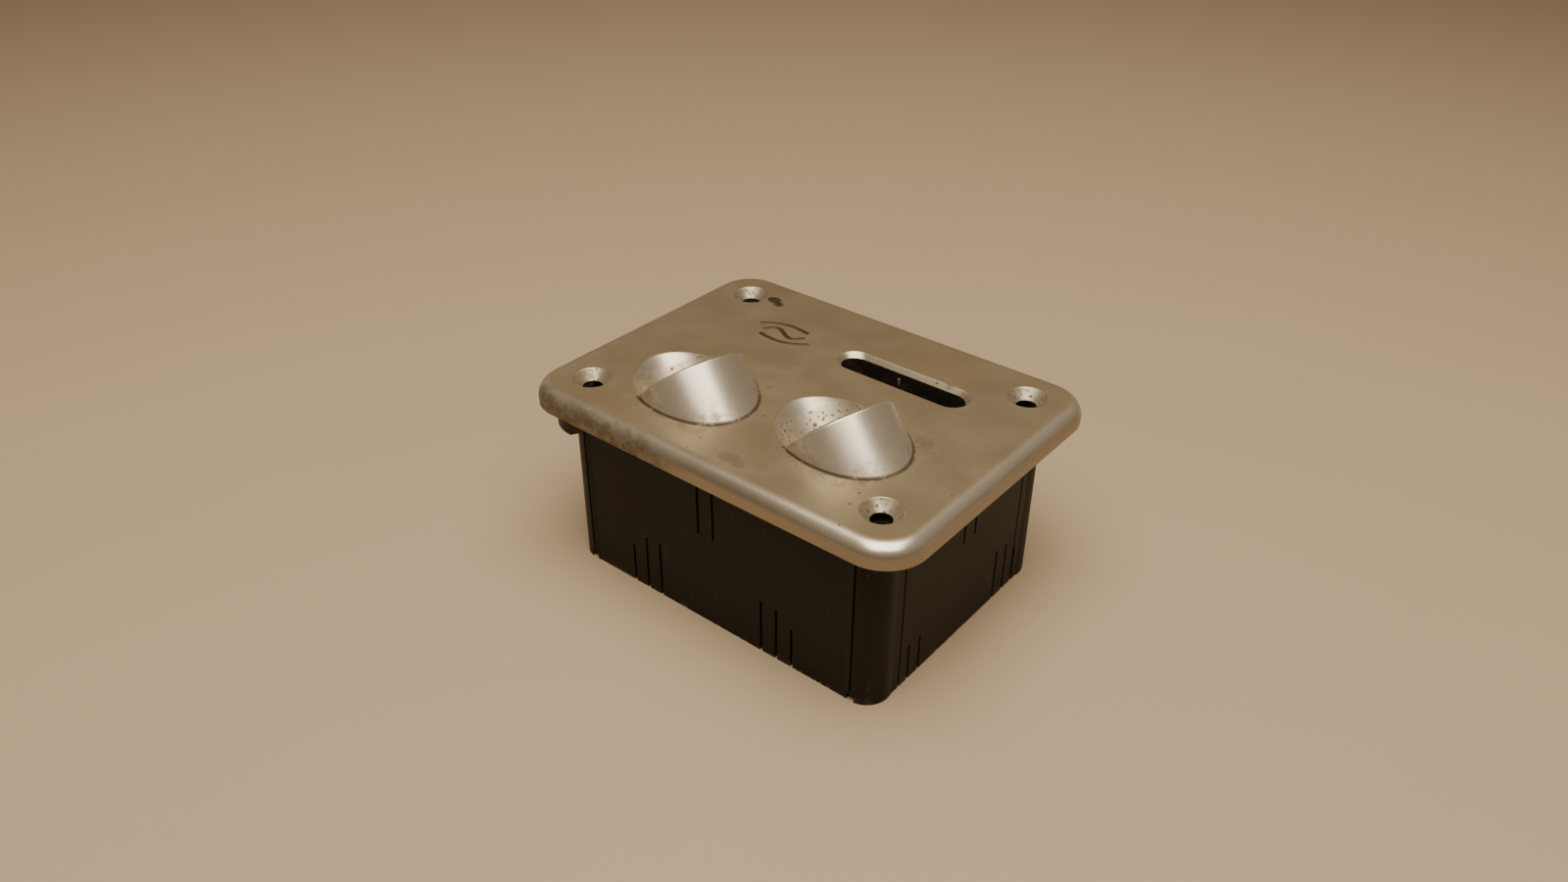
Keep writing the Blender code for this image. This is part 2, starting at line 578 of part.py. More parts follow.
def terminal_block():
    """A moulded block; each pole has a pocket that is open to the front and a screw well from the top."""
    length, depth, height = BLOCK_SIZE
    x0, y0 = BLOCK_CENTRE
    top = BLOCK_UNDER + height
    block = box("terminal_block", (x0 - length / 2, y0 - depth / 2, BLOCK_UNDER),
                (x0 + length / 2, y0 + depth / 2, top), "block_plastic")
    front = y0 - depth / 2
    for index in range(POLES):
        x = pole_x(index)
        half = CLAMP_SIZE[0] / 2
        cut(block, box(f"pocket_{index}", (x - half - GAP, front - MM, CLAMP_UNDER - GAP),
                       (x + half + GAP, front + CLAMP_SIZE[1] + MM, CLAMP_UNDER + CLAMP_SIZE[2] + GAP)))
        cut(block, rod(f"screw_well_{index}", 2.2 * MM, (x, y0, CLAMP_UNDER + 2 * MM), (x, y0, top + MM), sides=12))
        clamp = box(f"terminal_clamp_{index + 1}", (x - half, front + 0.6 * MM, CLAMP_UNDER),
                    (x + half, front + 0.6 * MM + CLAMP_SIZE[1], CLAMP_UNDER + CLAMP_SIZE[2]), "brass")
        for level in (LOWER_ENTRY, UPPER_ENTRY):
            cut(clamp, rod(f"entry_{index}_{level * 10000:.0f}", WIRE_HOLE, (x, front - MM, level),
                           (x, front + 6.4 * MM, level), sides=12))
        cut(clamp, rod(f"clamp_thread_{index}", 1.5 * MM, (x, y0, UPPER_ENTRY + 0.2 * MM),
                       (x, y0, top + MM), sides=12))
        headed_screw(f"terminal_screw_{index + 1}", (x, y0, CLAMP_UNDER + CLAMP_SIZE[2] + 1.4 * MM), (0, 0, -1),
                     1.2 * MM, 2.3 * MM, 1.9 * MM, 1.2 * MM)


def port_wires(number, frame):
    """Three wires from the pins' ends to the clamps of the first three poles."""
    bpy.context.view_layer.update()
    level = LOWER_ENTRY if number == 1 else UPPER_ENTRY
    outward = frame.matrix_world.to_3x3() @ Vector((0, 0, -1))
    for index, finish in enumerate(("brown_wire", "blue_wire", "green_wire")):
        x, y = pin_place(index)
        start = frame.matrix_world @ Vector((x, y, PIN_END + 1.0 * MM))
        end = Vector((pole_x(PORT_LEAD_POLES[index]), BLOCK_CENTRE[1] - BLOCK_SIZE[1] / 2 + 3.0 * MM, level))
        pin_handle, pole_handle = PORT_LEAD_HANDLES[number - 1][index]
        points = lead_points(start, outward, pin_handle * MM, end, Vector((0, 1, 0)), pole_handle * MM, 11)
        wire(f"port_wire_{number}{'abc'[index]}", points, WIRE_RADIUS, finish)


def switch_base():
    base = box("switch_base", (SWITCH_X[0], SWITCH_Y[0], SWITCH_Z[0]), (SWITCH_X[1], SWITCH_Y[1], SWITCH_Z[1]),
               "switch_plastic")
    pivot_x, pivot_z = LEVER_PIVOT
    for side in (-1, 1):
        y = LEVER_PLANE + side * 1.3 * MM
        join(base, box(f"ear_{side}", (pivot_x - 1.4 * MM, y - 0.4 * MM, SWITCH_Z[1] - MM),
                       (pivot_x + 1.4 * MM, y + 0.4 * MM, pivot_z + 1.4 * MM)))
    cut(base, rod("ear_hole", 0.75 * MM, (pivot_x, 12 * MM, pivot_z), (pivot_x, 26 * MM, pivot_z), sides=12))
    cut(base, box("cavity", (CAVITY_X[0], CAVITY_Y[0], CAVITY_Z[0]), (CAVITY_X[1], CAVITY_Y[1], CAVITY_Z[1])))
    cut(base, rod("plunger_hole", PLUNGER_RADIUS + GAP, (PLUNGER_X, LEVER_PLANE, 37 * MM),
                  (PLUNGER_X, LEVER_PLANE, 42 * MM), sides=12))
    for number, x in enumerate((4.0 * MM, 13.0 * MM, 21.5 * MM)):
        cut(base, box(f"tab_gate_{number}", (x - GAP, TAB_Y[0] - GAP, SWITCH_Z[0] - MM),
                      (x + 0.5 * MM + GAP, TAB_Y[1] + GAP, CAVITY_Z[0] + MM)))
    for number, (x, z) in enumerate(SWITCH_HOLES):
        cut(base, rod(f"base_hole_{number}", 1.1 * MM, (x, 12 * MM, z), (x, 28 * MM, z), sides=12))


def switch_cover():
    cover = box("switch_cover", (SWITCH_X[0], SWITCH_Y[0] - GAP - 0.9 * MM, SWITCH_Z[0]),
                (SWITCH_X[1], SWITCH_Y[0] - GAP, SWITCH_Z[1]), "switch_plastic")
    for number, (x, z) in enumerate(SWITCH_HOLES):
        cut(cover, rod(f"cover_hole_{number}", 1.1 * MM, (x, 12 * MM, z), (x, 28 * MM, z), sides=12))


def switch_tabs():
    thick = 0.5 * MM
    outline_plate("common_tab", [(4.0 * MM, TAB_FOOT), (4.0 * MM + thick, TAB_FOOT),
                                 (4.0 * MM + thick, 36.4 * MM), (4.0 * MM, 36.4 * MM)], *TAB_Y, "brass")
    outline_plate("open_tab", [(13.0 * MM, TAB_FOOT), (13.0 * MM + thick, TAB_FOOT),
                               (13.0 * MM + thick, 32.9 * MM), (20.0 * MM, 32.9 * MM),
                               (20.0 * MM, 33.3 * MM), (13.0 * MM, 33.3 * MM)], *TAB_Y, "brass")
    outline_plate("closed_tab", [(21.5 * MM, TAB_FOOT), (21.5 * MM + thick, TAB_FOOT),
                                 (21.5 * MM + thick, 37.3 * MM), (17.6 * MM, 37.3 * MM),
                                 (17.6 * MM, 36.85 * MM), (21.5 * MM, 36.85 * MM)], *TAB_Y, "brass")


def contact_blade():
    """A thin strip that turns about its left end; a rivet at its right end makes contact."""
    x, z = BLADE_PIVOT
    pivot = bpy.data.objects.new("blade_pivot", None)
    PARTS.objects.link(pivot)
    pivot.location = (x, LEVER_PLANE, z)
    blade = box("contact_blade", (-0.1 * MM, -1.3 * MM, -0.15 * MM), (14.6 * MM, 1.3 * MM, 0.15 * MM), "copper", pivot)
    join(blade, rod("blade_rivet", 0.9 * MM, (13.4 * MM, 0, -0.25 * MM), (13.4 * MM, 0, 0.25 * MM), None, pivot, 12))


def switch_plunger():
    x = PLUNGER_X
    plunger = rod("switch_plunger", PLUNGER_RADIUS, (0, 0, -2.85 * MM), (0, 0, 0.45 * MM), "button_plastic", sides=12)
    plunger.location = (x, LEVER_PLANE, 39.65 * MM)


def wire_lever():
    """A bent wire on a sleeve: it passes over the plunger and stands upright in the slot."""
    pivot_x, pivot_z = LEVER_PIVOT
    tip_x, tip_z = LEVER_TIP
    bend = 2.0 * MM
    run_z = 41.6 * MM
    points = [(pivot_x + 0.95 * MM, pivot_z + 0.1 * MM), (PLUNGER_X - 1.2 * MM, 40.85 * MM),
              (PLUNGER_X + 0.8 * MM, 40.85 * MM), (tip_x - bend - 0.6 * MM, run_z)]
    for k in range(5):
        angle = math.radians(-90 + 22.5 * k)
        points.append((tip_x - bend + bend * math.cos(angle), run_z + 0.2 * MM + bend + bend * math.sin(angle)))
    points.append((tip_x, (run_z + tip_z) / 2 + bend))
    points.append((tip_x, tip_z))
    path = [Vector((x - pivot_x, 0.0, z - pivot_z)) for x, z in points]
    lever = curve_to_mesh(wire("wire_lever", path, 0.35 * MM, "copper"))
    lever.location = (pivot_x, LEVER_PLANE, pivot_z)
    sleeve = rod("lever_sleeve", 1.15 * MM, (pivot_x, LEVER_PLANE - 0.6 * MM, pivot_z),
                 (pivot_x, LEVER_PLANE + 0.6 * MM, pivot_z), sides=16)
    join(lever, sleeve)
    cut(lever, rod("sleeve_bore", 0.75 * MM, (pivot_x, 12 * MM, pivot_z), (pivot_x, 26 * MM, pivot_z), sides=12))
    rod("lever_pin", 0.45 * MM, (pivot_x, LEVER_PLANE - 2.0 * MM, pivot_z),
        (pivot_x, LEVER_PLANE + 2.0 * MM, pivot_z), "steel", sides=12)


def switch_screws():
    for number, (x, z) in enumerate(SWITCH_HOLES, start=1):
        headed_screw(f"switch_screw_{number}", (x, SWITCH_Y[0] - 2 * GAP - 0.9 * MM, z), (0, 1, 0),
                     0.8 * MM, 10.2 * MM, 1.6 * MM, 1.0 * MM)


def switch_wires():
    """Two leads from the common and open tabs to the last two poles."""
    starts = (13.25 * MM, 4.25 * MM)
    for number, x in enumerate(starts):
        start = Vector((x, LEVER_PLANE, TAB_FOOT - GAP))
        end = Vector((pole_x(3 + number), BLOCK_CENTRE[1] - BLOCK_SIZE[1] / 2 + 3.0 * MM, LOWER_ENTRY))
        tab_handle, pole_handle = SWITCH_LEAD_HANDLES[number]
        points = lead_points(start, Vector((0, 0, -1)), tab_handle * MM, end, Vector((0, 1, 0)),
                             pole_handle * MM, 10)
        wire(f"switch_wire_{number + 1}", points, 0.7 * MM, "grey_wire")


def cable_grommet():
    """A rubber bush whose groove sits on the edge of the hole in the back wall."""
    x, z = GROMMET_PLACE
    wall = BOX_WALL / 2 + GAP
    lip = 1.5 * MM
    outer = 6.5 * MM
    neck = GROMMET_HOLE - GAP
    bore = 3.2 * MM
    profile = [(bore + 0.8 * MM, wall + lip), (outer, wall + 0.4 * MM), (outer, wall), (neck, wall), (neck, -wall),
               (outer, -wall), (outer, -wall - lip), (bore, -wall - lip), (bore, wall + lip)]
    grommet = turned("cable_grommet", profile, "rubber", steps=24, closed=True)
    grommet.rotation_euler = (-math.pi / 2, 0, 0)
    grommet.location = (x, BOX_WIDTH / 2 - BOX_WALL / 2, z)


def build():
    frames = port_frames()
    face_plate(frames)
    plate_gasket()
    wall_box()
    device_carrier(frames)
    carrier_screws()
    for number, frame in enumerate(frames, start=1):
        inlet_insert(number, frame)
        inlet_seal(number, frame)
        retaining_ring(number, frame)
        contact_pins(number, frame)
    terminal_block()
    for number, frame in enumerate(frames, start=1):
        port_wires(number, frame)
    switch_base()
    switch_cover()
    switch_tabs()
    contact_blade()
    switch_plunger()
    wire_lever()
    switch_screws()
    switch_wires()
    cable_grommet()


build()
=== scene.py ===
"""The looks of the hooded inlet box: cast face plate, moulded box, and what shows inside.

Every piece stands in the place of the frame's node that it replaces. Lengths are in metres.
"""
import json
import math
from contextlib import contextmanager

import bmesh
import bpy
from mathutils import Matrix, Vector


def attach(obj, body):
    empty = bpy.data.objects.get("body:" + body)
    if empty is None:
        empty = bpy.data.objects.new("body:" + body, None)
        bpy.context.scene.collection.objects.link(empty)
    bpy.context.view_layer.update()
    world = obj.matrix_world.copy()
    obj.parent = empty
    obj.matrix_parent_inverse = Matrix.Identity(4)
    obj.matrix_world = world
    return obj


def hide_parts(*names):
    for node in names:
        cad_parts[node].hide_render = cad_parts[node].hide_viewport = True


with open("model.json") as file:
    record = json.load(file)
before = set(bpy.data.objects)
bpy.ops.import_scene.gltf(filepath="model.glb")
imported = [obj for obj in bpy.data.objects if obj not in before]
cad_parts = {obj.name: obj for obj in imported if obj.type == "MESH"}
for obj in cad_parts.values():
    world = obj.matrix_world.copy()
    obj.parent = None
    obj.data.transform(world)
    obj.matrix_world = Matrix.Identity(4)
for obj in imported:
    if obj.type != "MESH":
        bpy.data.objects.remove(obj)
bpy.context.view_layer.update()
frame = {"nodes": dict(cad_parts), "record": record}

MM = 0.001
GAP = 0.3 * MM

# ---------------------------------------------------------------- sizes

PLATE_TOP = 53.0 * MM
PLATE_LENGTH = 116.2 * MM
PLATE_WIDTH = 88.1 * MM
PLATE_DEPTH = 5.7 * MM
PLATE_CORNER = 11.2 * MM
PLATE_ROLL = 4.0 * MM
PLATE_RIM = 2.4 * MM
PLATE_SKIN = 2.6 * MM
FIXINGS = [(sx * 45.0 * MM, sy * 31.1 * MM) for sx in (-1, 1) for sy in (-1, 1)]
FIXING_RADIUS = 2.6 * MM
SINK_RADIUS = 5.1 * MM
SLOT_CENTRE = Vector((15.8 * MM, 18.9 * MM, 0.0))
SLOT_LENGTH = 39.6 * MM
SLOT_WIDTH = 9.9 * MM
SLOT_SLOPE = 1.25 * MM
PORT_CENTRES = (Vector((-22.45 * MM, -17.64 * MM, PLATE_TOP)), Vector((19.75 * MM, -12.44 * MM, PLATE_TOP)))
PORT_TURN = math.radians(-16.4)
PORT_TILT = math.radians(-45.0)
PORT_BORE = 13.5 * MM
HOOD_RADIUS = 14.5 * MM
HOOD_MOUTH = 2.2 * MM
HOOD_LIP = 0.75 * MM
SOCKET_RADIUS = 14.35 * MM
SOCKET_END = -12.5 * MM
THROAT_RADIUS = 12.4 * MM
SEAL_RADIUS = 12.55 * MM
PIN_RADIUS = 1.9 * MM
PIN_TIP = 0.5 * MM

BOX_LENGTH = 98.4 * MM
BOX_WIDTH = 73.8 * MM
BOX_CORNER = 6.3 * MM
BOX_WALL = 2.0 * MM
FLANGE_LENGTH = 105.3 * MM
FLANGE_WIDTH = 82.0 * MM
FLANGE_CORNER = 11.5 * MM
FLANGE_UNDER = 44.9 * MM
FLANGE_TOP = 48.4 * MM
DEEP_END_LENGTH = 109.0 * MM
DEEP_END_WIDTH = 83.0 * MM
DEEP_END_UNDER = 41.5 * MM
DEEP_END_EDGE = -43.0 * MM
BOSSES = [(-43.9 * MM, -2.0 * MM), (43.9 * MM, 8.0 * MM), (-26.0 * MM, 31.8 * MM), (28.0 * MM, 31.8 * MM)]
SLIT = 0.7 * MM
SLIT_PITCH = 4.75 * MM
GROMMET = Vector((0.0, BOX_WIDTH / 2 - BOX_WALL / 2, 11.0 * MM))

CARRIER_UNDER = 46.2 * MM
CARRIER_TOP = 48.2 * MM
COLLAR_TOP = 50.1 * MM
SLEEVE_TOP = 51.4 * MM

MARK_CENTRE = Vector((-22.8 * MM, 18.7 * MM, PLATE_TOP))
MARK_TURN = math.radians(13.0)

LEVER_PIVOT = Vector((5.0 * MM, 18.9 * MM, 40.7 * MM))
LEVER_TIP = Vector((14.9 * MM, 18.9 * MM, 52.5 * MM))
BUTTON_X = 9.5 * MM
SWITCH_HOLES = (7.4 * MM, 18.4 * MM)
SWITCH_HOLE_HEIGHT = 30.9 * MM


# ---------------------------------------------------------------- modelling by hand

def select_only(piece=None):
    """Leaves edit mode, and selects nothing or one piece."""
    if bpy.context.object is not None and bpy.context.object.mode != "OBJECT":
        bpy.ops.object.mode_set(mode="OBJECT")
    bpy.ops.object.select_all(action="DESELECT")
    if piece is not None:
        piece.select_set(True)
        bpy.context.view_layer.objects.active = piece


def settle(name):
    """Names the new primitive, and puts its place and size in its mesh."""
    piece = bpy.context.object
    piece.name = name
    piece.data.name = name
    bpy.ops.object.transform_apply(location=True, rotation=True, scale=True)
    return piece


def block(name, low, high):
    select_only()
    bpy.ops.mesh.primitive_cube_add(size=1, location=[(a + b) / 2 for a, b in zip(low, high)],
                                    scale=[b - a for a, b in zip(low, high)])
    return settle(name)


def bar(name, radius, start, end, sides=64, end_radius=None):
    """A round bar, or a cone, from one point to another."""
    select_only()
    along = Vector(end) - Vector(start)
    bpy.ops.mesh.primitive_cone_add(vertices=sides, radius1=radius,
                                    radius2=radius if end_radius is None else end_radius,
                                    depth=along.length, location=(Vector(start) + Vector(end)) / 2,
                                    rotation=along.to_track_quat("Z", "Y").to_euler())
    return settle(name)


@contextmanager
def editing(piece):
    """Edit mode on one piece, with nothing of it selected."""
    select_only(piece)
    bpy.ops.object.mode_set(mode="EDIT")
    bpy.ops.mesh.select_all(action="DESELECT")
    yield piece
    bpy.ops.object.mode_set(mode="OBJECT")


def pick(kind, wanted):
    """Selects the verts, edges or faces of the piece in edit mode for which wanted(part) is true."""
    bpy.ops.mesh.select_mode(type=kind)
    bpy.ops.mesh.select_all(action="DESELECT")
    mesh = bpy.context.object.data
    shape = bmesh.from_edit_mesh(mesh)
    parts = {"VERT": shape.verts, "EDGE": shape.edges, "FACE": shape.faces}[kind]
    shape.normal_update()
    for part in parts:
        if wanted(part):
            part.select_set(True)
    shape.select_flush_mode()
    bmesh.update_edit_mesh(mesh)


def upright(edge):
    across = edge.verts[0].co - edge.verts[1].co
    return abs(across.z) > 10 * across.to_2d().length + 1e-7


def at_height(height):
    """A test for parts that lie wholly at one height."""
    return lambda part: all(abs(v.co.z - height) < 1e-6 for v in part.verts)


def facing(direction):
    direction = Vector(direction)
    return lambda face: face.normal.dot(direction) > 0.99


def round_picked(width, steps):
    bpy.ops.mesh.bevel(offset=width, offset_type="OFFSET", segments=steps, profile=0.5, affect="EDGES",
                       clamp_overlap=True)


def slab(name, length, width, under, top, corner, centre=(0.0, 0.0), steps=14):
    """A block with round corners in plan."""
    half = Vector((length / 2, width / 2))
    piece = block(name, (centre[0] - half.x, centre[1] - half.y, under),
                  (centre[0] + half.x, centre[1] + half.y, top))
    with editing(piece):
        pick("EDGE", upright)
        round_picked(corner, steps)
        bpy.ops.mesh.select_all(action="SELECT")
        bpy.ops.mesh.remove_doubles(threshold=2e-6)
    return piece


def slot_bar(name, length, width, under, top):
    return slab(name, length, width, under, top, width / 2, centre=SLOT_CENTRE[:2], steps=20)


def apply_all(piece):
    select_only(piece)
    for modifier in list(piece.modifiers):
        bpy.ops.object.modifier_apply(modifier=modifier.name)


def combine(piece, tools, operation):
    """Boolean work with one tool after another; each tool is used up."""
    for tool in tools:
        work = piece.modifiers.new(operation.lower(), "BOOLEAN")
        work.operation = operation
        work.solver = "EXACT"
        work.object = tool
        apply_all(piece)
        bpy.data.objects.remove(tool, do_unlink=True)


def cut(piece, *tools):
    combine(piece, tools, "DIFFERENCE")


def join(piece, *tools):
    combine(piece, tools, "UNION")


def gather(name, pieces):
    """Many separate pieces as one object."""
    select_only(pieces[0])
    for other in pieces[1:]:
        other.select_set(True)
    bpy.ops.object.join()
    return settle(name)


def slice_off(piece, height, keep_above):
    """Cuts a piece level at a height, and closes the cut."""
    with editing(piece):
        bpy.ops.mesh.select_all(action="SELECT")
        bpy.ops.mesh.bisect(plane_co=(0, 0, height), plane_no=(0, 0, 1), use_fill=True,
                            clear_inner=keep_above, clear_outer=not keep_above)
    return piece


def soften(piece, width, steps=3, angle=33.0):
    """Rounds every sharp edge a little."""
    edge = piece.modifiers.new("edges", "BEVEL")
    edge.limit_method = "ANGLE"
    edge.angle_limit = math.radians(angle)
    edge.width = width
    edge.segments = steps
    edge.use_clamp_overlap = True
    apply_all(piece)
    return piece


def smooth(piece, angle=34.0):
    """Smooth shading that keeps flat faces flat."""
    select_only(piece)
    bpy.ops.object.shade_smooth_by_angle(angle=math.radians(angle))
    even = piece.modifiers.new("normals", "WEIGHTED_NORMAL")
    even.keep_sharp = True
    even.weight = 60
    apply_all(piece)
    return piece


def hand_over(piece, body, slot, paint, *nodes):
    """The piece stands for its nodes, moves with their body and has its finish."""
    piece.data.materials.clear()
    piece.data.materials.append(paint)
    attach(piece, body)
    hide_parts(*nodes)


def port_matrix(number):
    """From a port's own axes, with Z out of its mouth, to the frame."""
    turn = Matrix.Rotation(PORT_TURN, 4, "Z") @ Matrix.Rotation(PORT_TILT, 4, "Y")
    return Matrix.Translation(PORT_CENTRES[number]) @ turn


def port_bar(name, number, radius, start, end, place=(0.0, 0.0), sides=64, end_radius=None):
    """A round bar parallel to a port's axis."""
    to_frame = port_matrix(number)
    return bar(name, radius, to_frame @ Vector((*place, start)), to_frame @ Vector((*place, end)), sides, end_radius)


def wire(name, points, radius, rings=6):
    """A smooth round wire along a few points, as a mesh with closed ends."""
    select_only()
    curve = bpy.data.curves.new(name, "CURVE")
    curve.dimensions = "3D"
    curve.bevel_depth = radius
    curve.bevel_resolution = rings
    curve.use_fill_caps = True
    spline = curve.splines.new("POLY")
    spline.points.add(len(points) - 1)
    for knot, point in zip(spline.points, points):
        knot.co = (*point, 1.0)
    piece = bpy.data.objects.new(name, curve)
    bpy.context.scene.collection.objects.link(piece)
    select_only(piece)
    bpy.ops.object.convert(target="MESH")
    return settle(name)


# ---------------------------------------------------------------- shader arithmetic

class Shade:
    """One value inside a material. Plain arithmetic on it adds Math nodes."""

    def __init__(self, recipe, socket):
        self.recipe = recipe
        self.socket = socket

    def math(self, operation, *others, first=None):
        values = [self, *others] if first is None else [first, self]
        return self.recipe.add("ShaderNodeMath", {"operation": operation}, dict(enumerate(values)))

    def __add__(self, other):
        return self.math("ADD", other)

    def __radd__(self, other):
        return self.math("ADD", other)

    def __sub__(self, other):
        return self.math("SUBTRACT", other)

    def __rsub__(self, other):
        return self.math("SUBTRACT", first=other)

    def __mul__(self, other):
        return self.math("MULTIPLY", other)

    def __rmul__(self, other):
        return self.math("MULTIPLY", other)

    def __truediv__(self, other):
        return self.math("DIVIDE", other)

    def __pow__(self, other):
        return self.math("POWER", other)

    def __abs__(self):
        return self.math("ABSOLUTE")

    def __gt__(self, other):
        return self.math("GREATER_THAN", other)

    def __lt__(self, other):
        return self.math("LESS_THAN", other)

    def root(self):
        return self.math("SQRT")

    def at_least(self, other):
        return self.math("MAXIMUM", other)

    def at_most(self, other):
        return self.math("MINIMUM", other)

    def rise(self, low, high):
        """0 below low, 1 above high, and a smooth step between them."""
        return self.recipe.add("ShaderNodeMapRange", {"interpolation_type": "SMOOTHSTEP"},
                               {"Value": self, "From Min": low, "From Max": high})

    def fall(self, low, high):
        return 1 - self.rise(low, high)


class Recipe:
    """A material's nodes. Lengths in it are millimetres."""

    def __init__(self, name):
        self.material = bpy.data.materials.new(name)
        self.material.use_nodes = True
        self.tree = self.material.node_tree
        self.tree.nodes.clear()
        metres = self.add("ShaderNodeTexCoord", output="Object")
        self.place = self.add("ShaderNodeVectorMath", {"operation": "SCALE"}, {0: metres, "Scale": 1000.0})

    def add(self, kind, settings=None, inputs=None, output=0):
        """Any node: its settings, then the values or links of its sockets."""
        node = self.tree.nodes.new(kind)
        for key, value in (settings or {}).items():
            setattr(node, key, value)
        for key, value in (inputs or {}).items():
            if isinstance(value, Shade):
                self.tree.links.new(value.socket, node.inputs[key])
            else:
                node.inputs[key].default_value = value
        return Shade(self, node.outputs[output] if node.outputs else None)

    def nothing(self):
        """A value of 0 that other values can be added to."""
        return self.add("ShaderNodeMath", {"operation": "ADD"}, {0: 0.0, 1: 0.0})

    def axes(self):
        return [self.add("ShaderNodeSeparateXYZ", inputs={0: self.place}, output=k) for k in range(3)]

    def noise(self, size, detail=2.0, rough=0.5, shift=0.0, stretch=(1.0, 1.0, 1.0)):
        """Soft noise whose features are about size millimetres."""
        where = self.add("ShaderNodeMapping", inputs={
            "Vector": self.place, "Location": (shift, shift * 1.7, shift * 0.6), "Scale": stretch})
        return self.add("ShaderNodeTexNoise", {"noise_dimensions": "3D"},
                        {"Vector": where, "Scale": 1.0 / size, "Detail": detail, "Roughness": rough})

    def specks(self, spacing, radius, share, shift=0.0):
        """Small round spots: about one cell in 1/share of the given spacing holds one."""
        where = self.add("ShaderNodeVectorMath", {"operation": "ADD"}, {0: self.place, 1: (shift, shift, shift)})
        settings = {"feature": "F1", "voronoi_dimensions": "3D"}
        inputs = {"Vector": where, "Scale": 1.0 / spacing}
        distance = self.add("ShaderNodeTexVoronoi", settings, inputs, "Distance")
        chance = self.add("ShaderNodeTexVoronoi", settings, inputs, "Color")
        chance = self.add("ShaderNodeSeparateColor", inputs={0: chance}, output=0)
        return distance.fall(0.5 * radius / spacing, radius / spacing) * (chance < share)

    def mix(self, factor, first, second):
        """A colour between two colours."""
        def rgba(colour):
            return colour if isinstance(colour, Shade) else (*colour, 1.0)
        return self.add("ShaderNodeMix", {"data_type": "RGBA"}, {0: factor, 6: rgba(first), 7: rgba(second)}, 2)

    def spot(self, centre, reach):
        """1 at a place on the plate's top and 0 at the edge of an oval round it."""
        x, y, _ = self.axes()
        away = (((x - centre[0]) / reach[0]) ** 2.0 + ((y - centre[1]) / reach[1]) ** 2.0).root()
        return away.fall(0.0, 1.0)

    def bump(self, height, strength, depth):
        return self.add("ShaderNodeBump", inputs={"Strength": strength, "Distance": depth * MM, "Height": height})

    def finish(self, colour, roughness, metallic=0.0, normal=None, **fixed):
        shader = self.add("ShaderNodeBsdfPrincipled", inputs={
            "Base Color": colour if isinstance(colour, Shade) else (*colour, 1.0),
            "Roughness": roughness, "Metallic": metallic,
            **{key.replace("_", " "): value for key, value in fixed.items()}})
        if normal is not None:
            self.tree.links.new(normal.socket, shader.socket.node.inputs["Normal"])
        self.add("ShaderNodeOutputMaterial", inputs={"Surface": shader})
        return self.material


# ---------------------------------------------------------------- finishes

